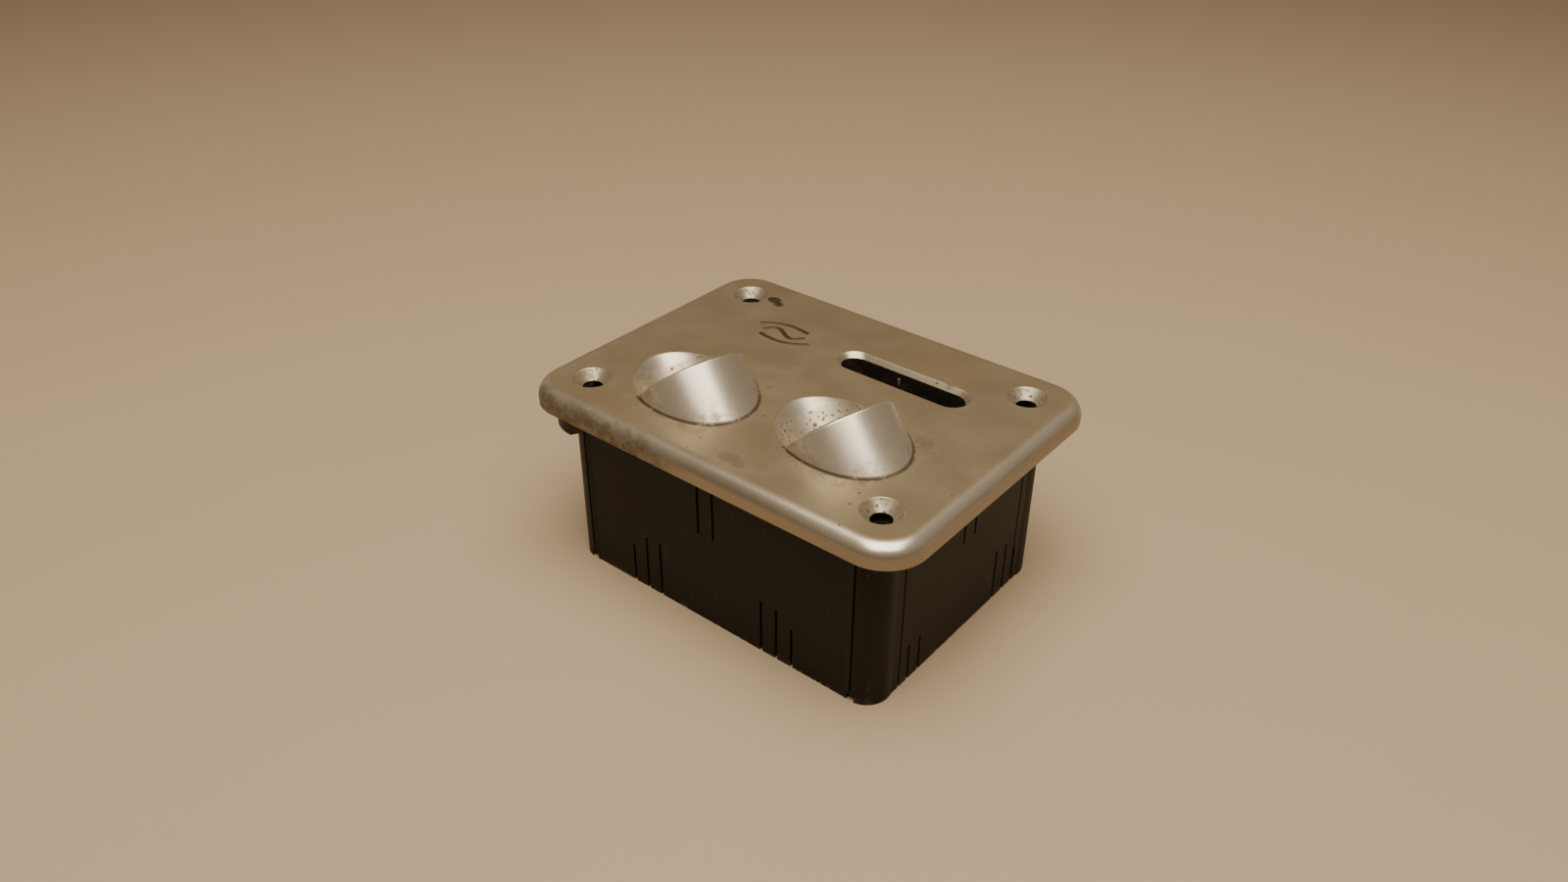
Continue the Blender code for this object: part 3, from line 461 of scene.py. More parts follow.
def silver_paint():
    """Satin silver paint on the casting: dusty and with painted reflection on top, rubbed on the roll with painted
    shade on its lower and front-left parts, grimy and with painted shade in the corners.
    """
    r = Recipe("silver_paint")
    x, y, z = r.axes()
    top = PLATE_TOP / MM
    fine = r.noise(0.35, 3.0)
    mottle = r.noise(11.0, 4.0, 0.55)
    cloud = r.noise(34.0, 2.0, 0.5, 7.0)
    patchy = r.noise(3.0, 4.0, 0.65, 3.0)
    streak = r.noise(1.6, 3.0, 0.6, 11.0)
    above = (z - top).at_least(0.0)
    crease_dirt_and_shade = r.nothing()
    crease_halo_dirt_and_shade = r.nothing()
    inside = r.nothing()
    tip = r.nothing()
    for number in range(2):
        to_frame = port_matrix(number)
        axis = to_frame.to_3x3() @ Vector((0, 0, 1))
        away = r.add("ShaderNodeVectorMath", {"operation": "SUBTRACT"},
                     {0: r.place, 1: tuple(PORT_CENTRES[number] / MM)})
        along = r.add("ShaderNodeVectorMath", {"operation": "DOT_PRODUCT"}, {0: away, 1: tuple(axis)}, "Value")
        span = r.add("ShaderNodeVectorMath", {"operation": "DOT_PRODUCT"}, {0: away, 1: away}, "Value")
        radius = (span - along * along).at_least(0.0).root()
        gap = abs(radius - HOOD_RADIUS / MM) + above
        hooded = along.fall(2.2, 3.0) * along.rise(-16.0, -14.0)
        # a dark line and a soft halo where each hood meets the plate: part dirt, part painted shade in the crease
        crease_dirt_and_shade = (gap.fall(0.15, 0.95) * hooded).at_least(crease_dirt_and_shade)
        crease_halo_dirt_and_shade = (gap.fall(0.3, 6.0) * hooded * along.fall(-2.0, 3.0)).at_least(crease_halo_dirt_and_shade)
        bored = radius.fall(13.55, 13.8) * along.fall(9.0, 10.0)
        inside = bored.at_least(inside)
        # a dark patch at the front end of each bore: part grime, part painted shade
        end = (to_frame @ Vector((0, -PORT_BORE, 0))) / MM
        tip = r.spot(end[:2], (8.5, 8.5)).at_least(tip)
    corner = ((abs(x) - 45.0) ** 2.0 + (abs(y) - 31.1) ** 2.0).root()
    sink = corner.fall(5.3, 5.8) * (top - z).rise(0.05, 0.25)
    slot = abs(y - SLOT_CENTRE.y / MM).fall(5.2, 5.6) * abs(x - SLOT_CENTRE.x / MM).fall(20.0, 20.6)
    slot = slot * (top - z).rise(0.15, 0.4)
    flat = (top - z).fall(0.05, 0.3) * above.fall(0.02, 0.2)
    marked = r.spot((MARK_CENTRE.x / MM, MARK_CENTRE.y / MM), (11.5, 8.5)) > 0.02
    engraved = marked * (top - z).rise(0.01, 0.06)

    roll = (top - z).rise(0.2, 1.5) * abs(x).rise(52.0, 54.0).at_least(abs(y).rise(38.0, 40.0))
    rub = roll * (top - z).fall(1.2, 2.6) * mottle.rise(0.42, 0.62)
    outside = abs(x).rise(52.6, 54.4).at_least(abs(y).rise(38.6, 40.4))

    # dirt that lies in places, and painted shade along the front-left edge and the left end
    smudge = r.spot((7.5, -36.6), (8.5, 4.2)) * 1.0
    smudge = (r.spot((14.0, -37.0), (3.6, 2.0)) * 0.5).at_least(smudge)
    smudge = (r.spot((37.0, -3.0), (5.0, 6.5)) * 0.75).at_least(smudge)
    smudge = (r.spot((26.5, 24.6), (7.0, 3.0)) * 0.6).at_least(smudge)
    smudge = (r.spot((-7.0, -8.0), (2.5, 6.0)) * 0.7).at_least(smudge)
    smudge = smudge * patchy.rise(0.38, 0.62)
    # darker along the front-left roll and the left end's roll, in patches: part dirt, part painted shade
    edge_dirt_and_shade = abs(x + 34.0).fall(16.0, 38.0) * y.fall(-43.0, -38.6)
    edge_dirt_and_shade = edge_dirt_and_shade.at_least(x.fall(-56.5, -52.0) * y.fall(-22.0, 0.0)) * (0.5 + patchy.rise(0.38, 0.6) * 0.5)
    gouge = r.spot((-37.4, 32.7), (3.8, 2.6)).at_least(r.spot((-35.2, 31.2), (3.0, 2.0)))
    gouge = (gouge + (streak - 0.5) * 0.6).rise(0.16, 0.34)
    drops = [((-19.0, -9.7), 0.32), ((-35.0, -2.9), 0.35), ((-4.7, -34.5), 0.4), ((0.4, -17.4), 0.45),
             ((37.4, -29.0), 0.5), ((38.2, -33.6), 0.55), ((53.6, -16.8), 0.4), ((41.0, -41.0), 0.45)]
    drop = r.nothing()
    for place, size in drops:
        drop = (r.spot(place, (size, size)).rise(0.15, 0.4)).at_least(drop)
    dots = r.specks(2.2, 0.34, 0.09) * 0.85
    inner_dots = r.specks(1.0, 0.40, 0.60, 5.0).at_least(r.specks(2.3, 0.75, 0.35, 9.0)) * patchy.rise(0.30, 0.42)
    pale_dots = r.specks(2.6, 0.2, 0.035, 15.0) * flat

    # dark marks on the paint: dirt, and painted shade in the creases, countersinks, bore ends and along the edges
    grime_and_shade = (crease_dirt_and_shade * patchy.rise(0.2, 0.46) * 0.95).at_least(crease_halo_dirt_and_shade * patchy.rise(0.36, 0.66) * 0.55)
    grime_and_shade = grime_and_shade.at_least((smudge * 1.5).at_most(0.62)).at_least(edge_dirt_and_shade * 0.74).at_least(drop * 0.9)
    grime_and_shade = grime_and_shade.at_least(dots * streak.rise(0.45, 0.55))
    grime_and_shade = grime_and_shade.at_least(inside * inner_dots * 0.8)
    # the bore ends are darkened: part grime, part painted shade
    grime_and_shade = grime_and_shade.at_least(tip * (inside * 0.75).at_least(patchy.rise(0.4, 0.62) * 0.6))
    # the countersinks get an even share of the dark colour as painted shade, with patchy dirt on top
    grime_and_shade = grime_and_shade.at_least(sink * (0.18 + patchy.rise(0.40, 0.62) * 0.42).at_least(inner_dots * 0.8))
    grime_and_shade = grime_and_shade.at_least(slot * inner_dots * x.rise(14.0, 24.0) * 0.85).at_least(engraved * 0.97)

    # the flat top gets a darker beige than the curved faces, which get hood_colour: part dust, part painted reflection
    # of the warm room
    clean = r.mix(mottle.rise(0.3, 0.7), (0.470, 0.385, 0.265), (0.520, 0.430, 0.300))
    clean = r.mix(cloud.rise(0.35, 0.65) * flat * 0.6, clean, (0.440, 0.350, 0.230))
    hood_colour = r.mix(fine, (0.640, 0.590, 0.505), (0.695, 0.645, 0.555))
    clean = r.mix(1 - flat, clean, hood_colour)
    # painted shade: the countersinks and the slot's sloped rim are toned down from the silver to a muted tan
    clean = r.mix(sink.at_least(slot) * 0.75, clean, (0.430, 0.370, 0.275))
    # painted shade: the lower part of the outer roll is darkened
    clean = r.mix((top - z).rise(0.7, 3.4) * outside * 0.80, clean, (0.235, 0.185, 0.125))
    clean = r.mix(rub * 0.5, clean, (0.69, 0.67, 0.63))
    # painted shade: the front-left roll is darkened over its highlight, less towards the front corner
    clean = r.mix(y.fall(-41.2, -39.6) * x.fall(14.0, 46.0) * 0.60, clean, (0.340, 0.290, 0.220))
    clean = r.mix(inside * (0.45 + patchy.rise(0.4, 0.7) * 0.4), clean, (0.55, 0.465, 0.33))
    clean = r.mix(pale_dots * 0.6, clean, (0.75, 0.72, 0.66))
    # the dark colour laid by both the dirt and the painted shade
    soil_and_shade = r.mix(streak, (0.045, 0.026, 0.010), (0.105, 0.066, 0.030))
    colour = r.mix(grime_and_shade, clean, soil_and_shade)
    colour = r.mix(engraved * 0.35, colour, (0.018, 0.011, 0.004))
    scraped = r.mix(streak.rise(0.5, 0.6), (0.020, 0.012, 0.004), (0.16, 0.11, 0.06))
    colour = r.mix(gouge * 0.95, colour, scraped)

    roughness = 0.40 - (1 - flat) * 0.08 + (fine - 0.5) * 0.10 + (mottle - 0.5) * 0.10
    roughness = roughness + inside * 0.10 + sink * 0.06 - rub * 0.07
    roughness = (roughness + grime_and_shade * 0.3 + gouge * 0.3).at_most(0.9)
    metallic = 0.78 - grime_and_shade.at_least(gouge) * 0.32
    height = fine * 0.5 + r.noise(0.9, 2.0, 0.5, 21.0) * 0.6 + inside * r.noise(0.6, 3.0, 0.6, 31.0) * 1.8
    height = height + grime_and_shade * 0.5 - gouge * 2.2 - rub * fine * 0.4
    return r.finish(colour, roughness, metallic, r.bump(height, 0.32, 0.03))


def box_plastic(name="box_plastic", lighter=0.0):
    """Matt black moulding: spark-eroded grain, faint flow marks, scuffs and dust."""
    r = Recipe(name)
    z = r.axes()[2]
    grain = r.noise(0.22, 2.0, 0.6)
    flow = r.noise(18.0, 3.0, 0.5, 4.0, (1.0, 1.0, 0.35))
    scuff = r.noise(2.2, 4.0, 0.7, 9.0, (1.0, 1.0, 0.3))
    dust = r.noise(5.0, 5.0, 0.65, 13.0)
    low = z.fall(0.2, 2.6) * dust.rise(0.52, 0.62)
    chip = z.fall(0.25, 0.9) * r.noise(1.2, 2.0, 0.5, 19.0).rise(0.6, 0.66)
    ledge = z.rise(44.5, 45.2) * dust.rise(0.45, 0.7)
    mark = scuff.rise(0.62, 0.7) * 0.35
    dots = r.specks(3.4, 0.22, 0.07) * 0.6
    black = r.mix(flow.rise(0.3, 0.7), (0.0055 + lighter, 0.0036 + lighter, 0.0016 + lighter),
                  (0.0085 + lighter, 0.0056 + lighter, 0.0026 + lighter))
    colour = r.mix(mark.at_least(dots), black, (0.050, 0.041, 0.030))
    colour = r.mix((low * 0.35).at_least(ledge * 0.25), colour, (0.120, 0.092, 0.060))
    colour = r.mix(chip * 0.8, colour, (0.330, 0.240, 0.140))
    roughness = 0.47 + (grain - 0.5) * 0.16 + (flow - 0.5) * 0.12 + low * 0.2 + chip * 0.3 - mark * 0.12
    height = grain + scuff * 0.35 - chip * 2.0
    return r.finish(colour, roughness, 0.0, r.bump(height, 0.4, 0.035), Specular_IOR_Level=0.20)


def moulding(name, dark, light, rough, grain_size=0.3, dusty=0.15, depth=0.03):
    """A plain moulded plastic or rubber with fine grain, uneven gloss and a little dust."""
    r = Recipe(name)
    grain = r.noise(grain_size, 2.0, 0.6)
    cloud = r.noise(6.0, 3.0, 0.6, 5.0)
    dust = r.noise(2.0, 5.0, 0.7, 9.0).rise(0.5, 0.72)
    colour = r.mix(cloud.rise(0.3, 0.7), dark, light)
    colour = r.mix(dust * dusty, colour, (0.36, 0.30, 0.22))
    roughness = rough + (grain - 0.5) * 0.14 + (cloud - 0.5) * 0.10 + dust * dusty * 0.5
    return r.finish(colour, roughness, 0.0, r.bump(grain, 0.35, depth))


def bare_metal(name, dark, light, rough, stain, across=(1.0, 1.0, 8.0)):
    """A turned, drawn or stamped metal with fine tool lines and a thin stain."""
    r = Recipe(name)
    lines = r.noise(0.5, 3.0, 0.6, 2.0, across)
    cloud = r.noise(1.8, 4.0, 0.6, 7.0)
    tarnish = cloud.rise(0.5, 0.72)
    colour = r.mix(lines.rise(0.25, 0.75), dark, light)
    colour = r.mix(tarnish * 0.5, colour, stain)
    roughness = rough + (lines - 0.5) * 0.16 + tarnish * 0.22
    metallic = 1.0 - tarnish * 0.35
    return r.finish(colour, roughness, metallic, r.bump(lines, 0.25, 0.012))


PAINT = silver_paint()
BOX_BLACK = box_plastic()
CARRIER_BLACK = box_plastic("carrier_plastic", 0.008)
GASKET_RUBBER = moulding("gasket_rubber", (0.018, 0.017, 0.016), (0.035, 0.033, 0.030), 0.72, 0.4, 0.25)
SEAL_RUBBER = moulding("seal_rubber", (0.016, 0.016, 0.016), (0.030, 0.029, 0.028), 0.62, 0.3, 0.12)
INSERT_BLACK = moulding("insert_plastic", (0.020, 0.020, 0.021), (0.032, 0.031, 0.031), 0.42, 0.25, 0.16)
RING_NYLON = moulding("ring_plastic", (0.26, 0.26, 0.25), (0.34, 0.34, 0.32), 0.46, 0.35, 0.10)
BLOCK_CREAM = moulding("block_plastic", (0.62, 0.59, 0.52), (0.74, 0.71, 0.63), 0.45, 0.3, 0.08)
SWITCH_BROWN = moulding("switch_plastic", (0.075, 0.033, 0.020), (0.125, 0.055, 0.032), 0.40, 0.25, 0.10)
PLUNGER_RED = moulding("plunger_plastic", (0.42, 0.05, 0.03), (0.55, 0.08, 0.05), 0.38, 0.2, 0.05)
WIRE_BROWN = moulding("wire_brown", (0.16, 0.065, 0.03), (0.21, 0.09, 0.045), 0.42, 0.5, 0.06)
WIRE_BLUE = moulding("wire_blue", (0.03, 0.09, 0.33), (0.05, 0.13, 0.42), 0.42, 0.5, 0.06)
WIRE_GREEN = moulding("wire_green", (0.13, 0.30, 0.04), (0.20, 0.40, 0.06), 0.42, 0.5, 0.06)
WIRE_GREY = moulding("wire_grey", (0.22, 0.22, 0.22), (0.30, 0.30, 0.29), 0.42, 0.5, 0.06)
PIN_BRASS = bare_metal("pin_brass", (0.66, 0.47, 0.20), (0.80, 0.60, 0.29), 0.26, (0.30, 0.19, 0.08))
TAB_BRASS = bare_metal("tab_brass", (0.62, 0.45, 0.20), (0.75, 0.57, 0.28), 0.32, (0.28, 0.18, 0.08))
SCREW_ZINC = bare_metal("screw_steel", (0.46, 0.46, 0.46), (0.62, 0.62, 0.61), 0.34, (0.26, 0.22, 0.17))
LEVER_COPPER = bare_metal("lever_copper", (0.74, 0.40, 0.28), (0.90, 0.56, 0.42), 0.30, (0.40, 0.20, 0.12))

FINISHES = {
    "die_cast": PAINT, "box_plastic": BOX_BLACK, "carrier_plastic": CARRIER_BLACK, "gasket_rubber": GASKET_RUBBER,
    "seal_rubber": SEAL_RUBBER, "insert_plastic": INSERT_BLACK, "ring_plastic": RING_NYLON, "pin_brass": PIN_BRASS,
    "tab_brass": TAB_BRASS, "screw_steel": SCREW_ZINC, "lever_copper": LEVER_COPPER, "block_plastic": BLOCK_CREAM,
    "switch_plastic": SWITCH_BROWN, "plunger_plastic": PLUNGER_RED, "wire_brown": WIRE_BROWN,
    "wire_blue": WIRE_BLUE, "wire_green": WIRE_GREEN, "wire_grey": WIRE_GREY,
}


# ---------------------------------------------------------------- the face plate

def generic_mark():
    """A cutting tool for the plate's mark: a wave between two bowed lines."""
    turn = Matrix.Translation(MARK_CENTRE) @ Matrix.Rotation(MARK_TURN, 4, "Z")
    lines = []
    steps = [k / 20 for k in range(21)]
    lines.append([(-6.2 + 12.4 * t, 2.0 * math.sin(math.tau * t)) for t in steps])
    lines.append([(-8.6 + 14.8 * t, 1.7 + 3.0 * math.sin(math.pi * (0.12 + 0.8 * t))) for t in steps])
    lines.append([(-6.0 + 14.8 * t, -1.7 - 3.0 * math.sin(math.pi * (0.08 + 0.8 * t))) for t in steps])
    tools = []
    for number, line in enumerate(lines):
        points = [turn @ Vector((x * MM, y * MM, 0.24 * MM)) for x, y in line]
        tools.append(wire(f"mark_tool_{number}", points, 0.72 * MM, 3))
    return tools


def sloped_slot():
    """A cutter for the slot's rim: it narrows downwards at 45 degrees, then goes straight through."""
    tall = 8 * MM
    cutter = slot_bar("slot_rim", SLOT_LENGTH, SLOT_WIDTH, PLATE_TOP - tall, PLATE_TOP)
    with editing(cutter):
        pick("FACE", facing((0, 0, -1)))
        bpy.ops.transform.translate(value=(0, 0, tall - 0.01 * MM))
        bpy.ops.mesh.extrude_region_move(TRANSFORM_OT_translate={"value": (0, 0, -SLOT_SLOPE)})
        narrow = [1 - 2 * SLOT_SLOPE / SLOT_LENGTH, 1 - 2 * SLOT_SLOPE / SLOT_WIDTH]
        shape = bmesh.from_edit_mesh(cutter.data)
        for vert in shape.verts:
            if vert.select:
                vert.co.x = SLOT_CENTRE.x + (vert.co.x - SLOT_CENTRE.x) * narrow[0]
                vert.co.y = SLOT_CENTRE.y + (vert.co.y - SLOT_CENTRE.y) * narrow[1]
        bmesh.update_edit_mesh(cutter.data)
        bpy.ops.mesh.extrude_region_move(TRANSFORM_OT_translate={"value": (0, 0, -6 * MM)})
        pick("FACE", facing((0, 0, 1)))
        bpy.ops.mesh.extrude_region_move(TRANSFORM_OT_translate={"value": (0, 0, 2 * MM)})
    return cutter


def face_plate():
    plate = slab("cast_face_plate", PLATE_LENGTH, PLATE_WIDTH, PLATE_TOP - PLATE_DEPTH, PLATE_TOP, PLATE_CORNER,
                 steps=18)
    with editing(plate):
        pick("EDGE", at_height(PLATE_TOP))
        round_picked(PLATE_ROLL, 10)
        pick("FACE", facing((0, 0, -1)))
        bpy.ops.mesh.inset(thickness=PLATE_RIM)
        bpy.ops.mesh.extrude_region_move(TRANSFORM_OT_translate={"value": (0, 0, PLATE_DEPTH - PLATE_SKIN)})
    buried = PLATE_TOP - 1.3 * MM
    for number in range(2):
        hood = port_bar("hood", number, HOOD_RADIUS, -22 * MM, HOOD_MOUTH, sides=144)
        to_port = port_matrix(number).inverted()
        with editing(hood):
            pick("EDGE", lambda edge: all((to_port @ v.co).z > HOOD_MOUTH - 0.01 * MM for v in edge.verts))
            round_picked(HOOD_LIP, 5)
        socket = port_bar("socket", number, SOCKET_RADIUS, SOCKET_END, 30 * MM, sides=120)
        join(plate, slice_off(hood, buried, True), slice_off(socket, buried + 0.3 * MM, False))
    for number in range(2):
        cut(plate, port_bar("bore", number, PORT_BORE, -4.2 * MM, 34 * MM, sides=144),
            port_bar("throat", number, THROAT_RADIUS, -5.4 * MM, 0.0, sides=96),
            port_bar("chamber", number, PORT_BORE, -32 * MM, -5.0 * MM, sides=144))
    cut(plate, slot_bar("sleeve_room", SLOT_LENGTH + 0.2 * MM, SLOT_WIDTH + 0.2 * MM, PLATE_TOP - 8 * MM,
                        SLEEVE_TOP + 0.15 * MM), sloped_slot())
    slope = (SINK_RADIUS - FIXING_RADIUS) / (2.4 * MM)
    for x, y in FIXINGS:
        cut(plate, bar("fixing", FIXING_RADIUS, (x, y, PLATE_TOP - 8 * MM), (x, y, PLATE_TOP + MM), 48),
            bar("sink", FIXING_RADIUS - 0.2 * MM * slope, (x, y, PLATE_TOP - 2.6 * MM), (x, y, PLATE_TOP + MM), 64,
                SINK_RADIUS + MM * slope))
    soften(plate, 0.30 * MM, 3)
    cut(plate, *generic_mark())
    smooth(plate)
    hand_over(plate, "box", "die_cast", PAINT, "face_plate")
    return plate


# ---------------------------------------------------------------- the box

def slits(name, places, along_x, face, low, tops):
    """Thin upright cutters through one wall."""
    made = []
    for number, (place, top) in enumerate(zip(places, tops)):
        side = (SLIT / 2, 1.5 * BOX_WALL) if along_x else (1.5 * BOX_WALL, SLIT / 2)
        middle = (place, face) if along_x else (face, place)
        made.append(block(f"{name}_{number}", (middle[0] - side[0], middle[1] - side[1], low),
                          (middle[0] + side[0], middle[1] + side[1], top)))
    return made


def wall_openings():
    """All slits of the four walls, as one cutter."""
    made = []
    p = SLIT_PITCH
    for side in (-1, 1):
        face = side * (BOX_WIDTH / 2 - BOX_WALL / 2)
        made += slits("low_left", [-22.8 * MM + k * p for k in (-1, 0, 1)], True, face, -MM,
                      (12.0 * MM, 16.3 * MM, 16.3 * MM))
        made += slits("low_right", [20.4 * MM + k * p for k in (-1, 0, 1)], True, face, -MM,
                      (15.5 * MM, 15.5 * MM, 11.8 * MM))
        made += slits("high", (-4.3 * MM, 0.5 * MM), True, face, 26.5 * MM, (43.0 * MM, 43.0 * MM))
        face = side * (BOX_LENGTH / 2 - BOX_WALL / 2)
        made += slits("low_rear", [21.6 * MM + k * p for k in (-1, 0, 1)], False, face, -MM,
                      (15.4 * MM, 15.0 * MM, 11.0 * MM))
        made += slits("low_near", (-22.3 * MM, -17.7 * MM), False, face, -MM, (10.5 * MM, 10.5 * MM))
        made += slits("high_end", (-1.0 * MM, 3.9 * MM), False, face, 28.3 * MM, (43.0 * MM, 43.0 * MM))
    return gather("wall_openings", made)


def corner_lines():
    """Grooves on both sides of each corner and the notch at the foot, as one cutter."""
    made = []
    half = 0.25 * MM
    for sx in (-1, 1):
        for sy in (-1, 1):
            x, y = sx * 43.0 * MM, sy * BOX_WIDTH / 2
            made.append(block("groove", (x - half, y - 0.6 * MM, 2.6 * MM), (x + half, y + 0.6 * MM, 44.4 * MM)))
            made.append(block("notch", (x - 1.1 * MM, y - 1.2 * MM, -MM), (x + 1.1 * MM, y + 1.2 * MM, 2.0 * MM)))
            x, y = sx * BOX_LENGTH / 2, sy * 26.0 * MM
            made.append(block("side_groove", (x - 0.6 * MM, y - half, -MM), (x + 0.6 * MM, y + half, 44.4 * MM)))
    return gather("corner_lines", made)


def deep_end():
    """The flange's thicker left end, which slopes up to the rest of the flange."""
    end = slab("deep_end", DEEP_END_LENGTH, DEEP_END_WIDTH, DEEP_END_UNDER, FLANGE_UNDER + 0.5 * MM,
               FLANGE_CORNER - 0.5 * MM)
    with editing(end):
        bpy.ops.mesh.select_all(action="SELECT")
        bpy.ops.mesh.bisect(plane_co=(DEEP_END_EDGE, 0, DEEP_END_UNDER), plane_no=(0.5, 0, -0.866), use_fill=True,
                            clear_outer=True)
    return end


def wall_box():
    body = slab("moulded_wall_box", BOX_LENGTH, BOX_WIDTH, 0.0, FLANGE_UNDER + MM, BOX_CORNER)
    column = 0.25 * MM
    for sx in (-1, 1):
        for sy in (-1, 1):
            x = sx * (BOX_LENGTH / 2 - BOX_CORNER)
            y = sy * (BOX_WIDTH / 2 - BOX_CORNER)
            join(body, bar("column", BOX_CORNER + column, (x, y, 0.0), (x, y, FLANGE_UNDER + 0.5 * MM), 72))
    join(body, slab("flange", FLANGE_LENGTH, FLANGE_WIDTH, FLANGE_UNDER, FLANGE_TOP, FLANGE_CORNER), deep_end())
    cut(body, slab("hollow", BOX_LENGTH - 2 * BOX_WALL, BOX_WIDTH - 2 * BOX_WALL, BOX_WALL, FLANGE_TOP + 2 * MM,
                   BOX_CORNER - BOX_WALL))
    for x, y in FIXINGS:
        join(body, bar("post", 4.5 * MM, (x, y, MM), (x, y, FLANGE_TOP - 0.01 * MM), 40))
    for x, y in BOSSES:
        join(body, bar("boss", 2.6 * MM, (x, y, MM), (x, y, CARRIER_UNDER - GAP), 32))
    for x, y in FIXINGS:
        cut(body, bar("post_hole", 1.9 * MM, (x, y, 14 * MM), (x, y, FLANGE_TOP + 2 * MM), 32))
    for x, y in BOSSES:
        cut(body, bar("boss_hole", 1.6 * MM, (x, y, 32 * MM), (x, y, 60 * MM), 24))
    cut(body, bar("cable_hole", 5.0 * MM, GROMMET - Vector((0, 3 * MM, 0)), GROMMET + Vector((0, 3 * MM, 0)), 64))
    cut(body, wall_openings(), corner_lines())
    soften(body, 0.16 * MM, 2)
    smooth(body)
    hand_over(body, "box", "box_plastic", BOX_BLACK, "wall_box")
    return body


def gasket():
    """A soft sheet between the flange and the plate, slightly pillowed at its edge."""
    sheet = slab("pressed_gasket", 104.6 * MM, 81.4 * MM, FLANGE_TOP + GAP, PLATE_TOP - PLATE_SKIN - GAP, 11.2 * MM)
    cut(sheet, slab("window", BOX_LENGTH - 2 * BOX_WALL, BOX_WIDTH - 2 * BOX_WALL, FLANGE_TOP - MM, PLATE_TOP,
                    BOX_CORNER - BOX_WALL))
    for x, y in FIXINGS:
        cut(sheet, bar("gasket_hole", 3.0 * MM, (x, y, FLANGE_TOP - MM), (x, y, PLATE_TOP), 32))
    smooth(soften(sheet, 0.35 * MM, 3))
    hand_over(sheet, "box", "gasket_rubber", GASKET_RUBBER, "plate_gasket")


def carrier():
    body = slab("moulded_carrier", BOX_LENGTH - 2 * BOX_WALL - MM, BOX_WIDTH - 2 * BOX_WALL - MM, CARRIER_UNDER,
                CARRIER_TOP, BOX_CORNER - BOX_WALL - 0.5 * MM)
    join(body, slot_bar("collar", SLOT_LENGTH + 4 * MM, SLOT_WIDTH + 4 * MM, CARRIER_UNDER + 0.5 * MM, COLLAR_TOP),
         block("bracket", (1.6 * MM, 24.4 * MM, 28.5 * MM), (24.4 * MM, 26.4 * MM, CARRIER_UNDER + MM)))
    join(body, slot_bar("sleeve", SLOT_LENGTH - 0.4 * MM, SLOT_WIDTH - 0.4 * MM, CARRIER_UNDER + 0.5 * MM,
                        SLEEVE_TOP))
    cut(body, slot_bar("carrier_slot", SLOT_LENGTH - 2 * SLOT_SLOPE, SLOT_WIDTH - 2 * SLOT_SLOPE, CARRIER_UNDER - MM,
                       SLEEVE_TOP + MM))
    for number in range(2):
        cut(body, port_bar("port_room", number, HOOD_RADIUS + 0.6 * MM, -45 * MM, 40 * MM, sides=96))
    for x, y in FIXINGS:
        cut(body, bar("post_room", 5.0 * MM, (x, y, 40 * MM), (x, y, 56 * MM), 32))
    for x, y in BOSSES:
        cut(body, bar("screw_room", 1.6 * MM, (x, y, 40 * MM), (x, y, 56 * MM), 24))
    for x in SWITCH_HOLES:
        cut(body, bar("bracket_hole", 1.1 * MM, (x, 20 * MM, SWITCH_HOLE_HEIGHT), (x, 30 * MM, SWITCH_HOLE_HEIGHT),
                      20))
    smooth(soften(body, 0.2 * MM, 2))
    hand_over(body, "box", "carrier_plastic", CARRIER_BLACK, "device_carrier")


# ---------------------------------------------------------------- inside the ports

def pin_place(index, reach=5.5 * MM):
    angle = math.radians(90 + 120 * index)
    return reach * math.cos(angle), reach * math.sin(angle)


def insert(number):
    """The moulded insert: a stepped plug with a dished hole round each pin."""
    body = port_bar(f"moulded_insert_{number + 1}", number, 13.2 * MM, -10.3 * MM, -7.1 * MM, sides=72)
    join(body, port_bar("nose", number, 11.6 * MM, -9.3 * MM, -5.0 * MM, sides=72),
         port_bar("barrel", number, 9.4 * MM, -21.0 * MM, -8.1 * MM, sides=64))
    for index in range(3):
        cut(body, port_bar("pin_dish", number, 3.1 * MM, -5.7 * MM, 0.0, pin_place(index), 40))
        cut(body, port_bar("pin_hole", number, 2.2 * MM, -24 * MM, 0.0, pin_place(index), 32))
    smooth(soften(body, 0.3 * MM, 3))
    hand_over(body, "box", "insert_plastic", INSERT_BLACK, f"inlet_insert_{number + 1}")


def pin(use, number, index):
    place = pin_place(index)
    shaft = port_bar(f"turned_{use}_pin_{number + 1}", number, PIN_RADIUS, -24.0 * MM, PIN_TIP, place, 40)
    to_port = port_matrix(number).inverted()
    with editing(shaft):
        pick("EDGE", lambda edge: all((to_port @ v.co).z > PIN_TIP - 0.01 * MM for v in edge.verts))
        round_picked(1.3 * MM, 6)
    head = port_bar("head", number, 2.8 * MM, -26.5 * MM, -21.3 * MM, place, 40)
    join(shaft, head)
    cut(shaft, port_bar("wire_hole", number, 1.25 * MM, -27.5 * MM, -22.7 * MM, place, 24))
    smooth(soften(shaft, 0.15 * MM, 2))
    hand_over(shaft, "box", "pin_brass", PIN_BRASS, f"{use}_pin_{number + 1}")


def seal(number):
    """A round rubber ring under the port's lip."""
    to_frame = port_matrix(number)
    select_only()
    bpy.ops.mesh.primitive_torus_add(major_radius=SEAL_RADIUS, minor_radius=0.6 * MM, major_segments=96,
                                     minor_segments=16)
    ring = settle(f"seal_ring_{number + 1}")
    ring.data.transform(to_frame @ Matrix.Translation((0, 0, -6.05 * MM)))
    with editing(ring):
        bpy.ops.mesh.select_all(action="SELECT")
        bpy.ops.mesh.normals_make_consistent(inside=False)
    smooth(ring)
    hand_over(ring, "box", "seal_rubber", SEAL_RUBBER, f"inlet_seal_{number + 1}")


# ---------------------------------------------------------------- switch and grommet

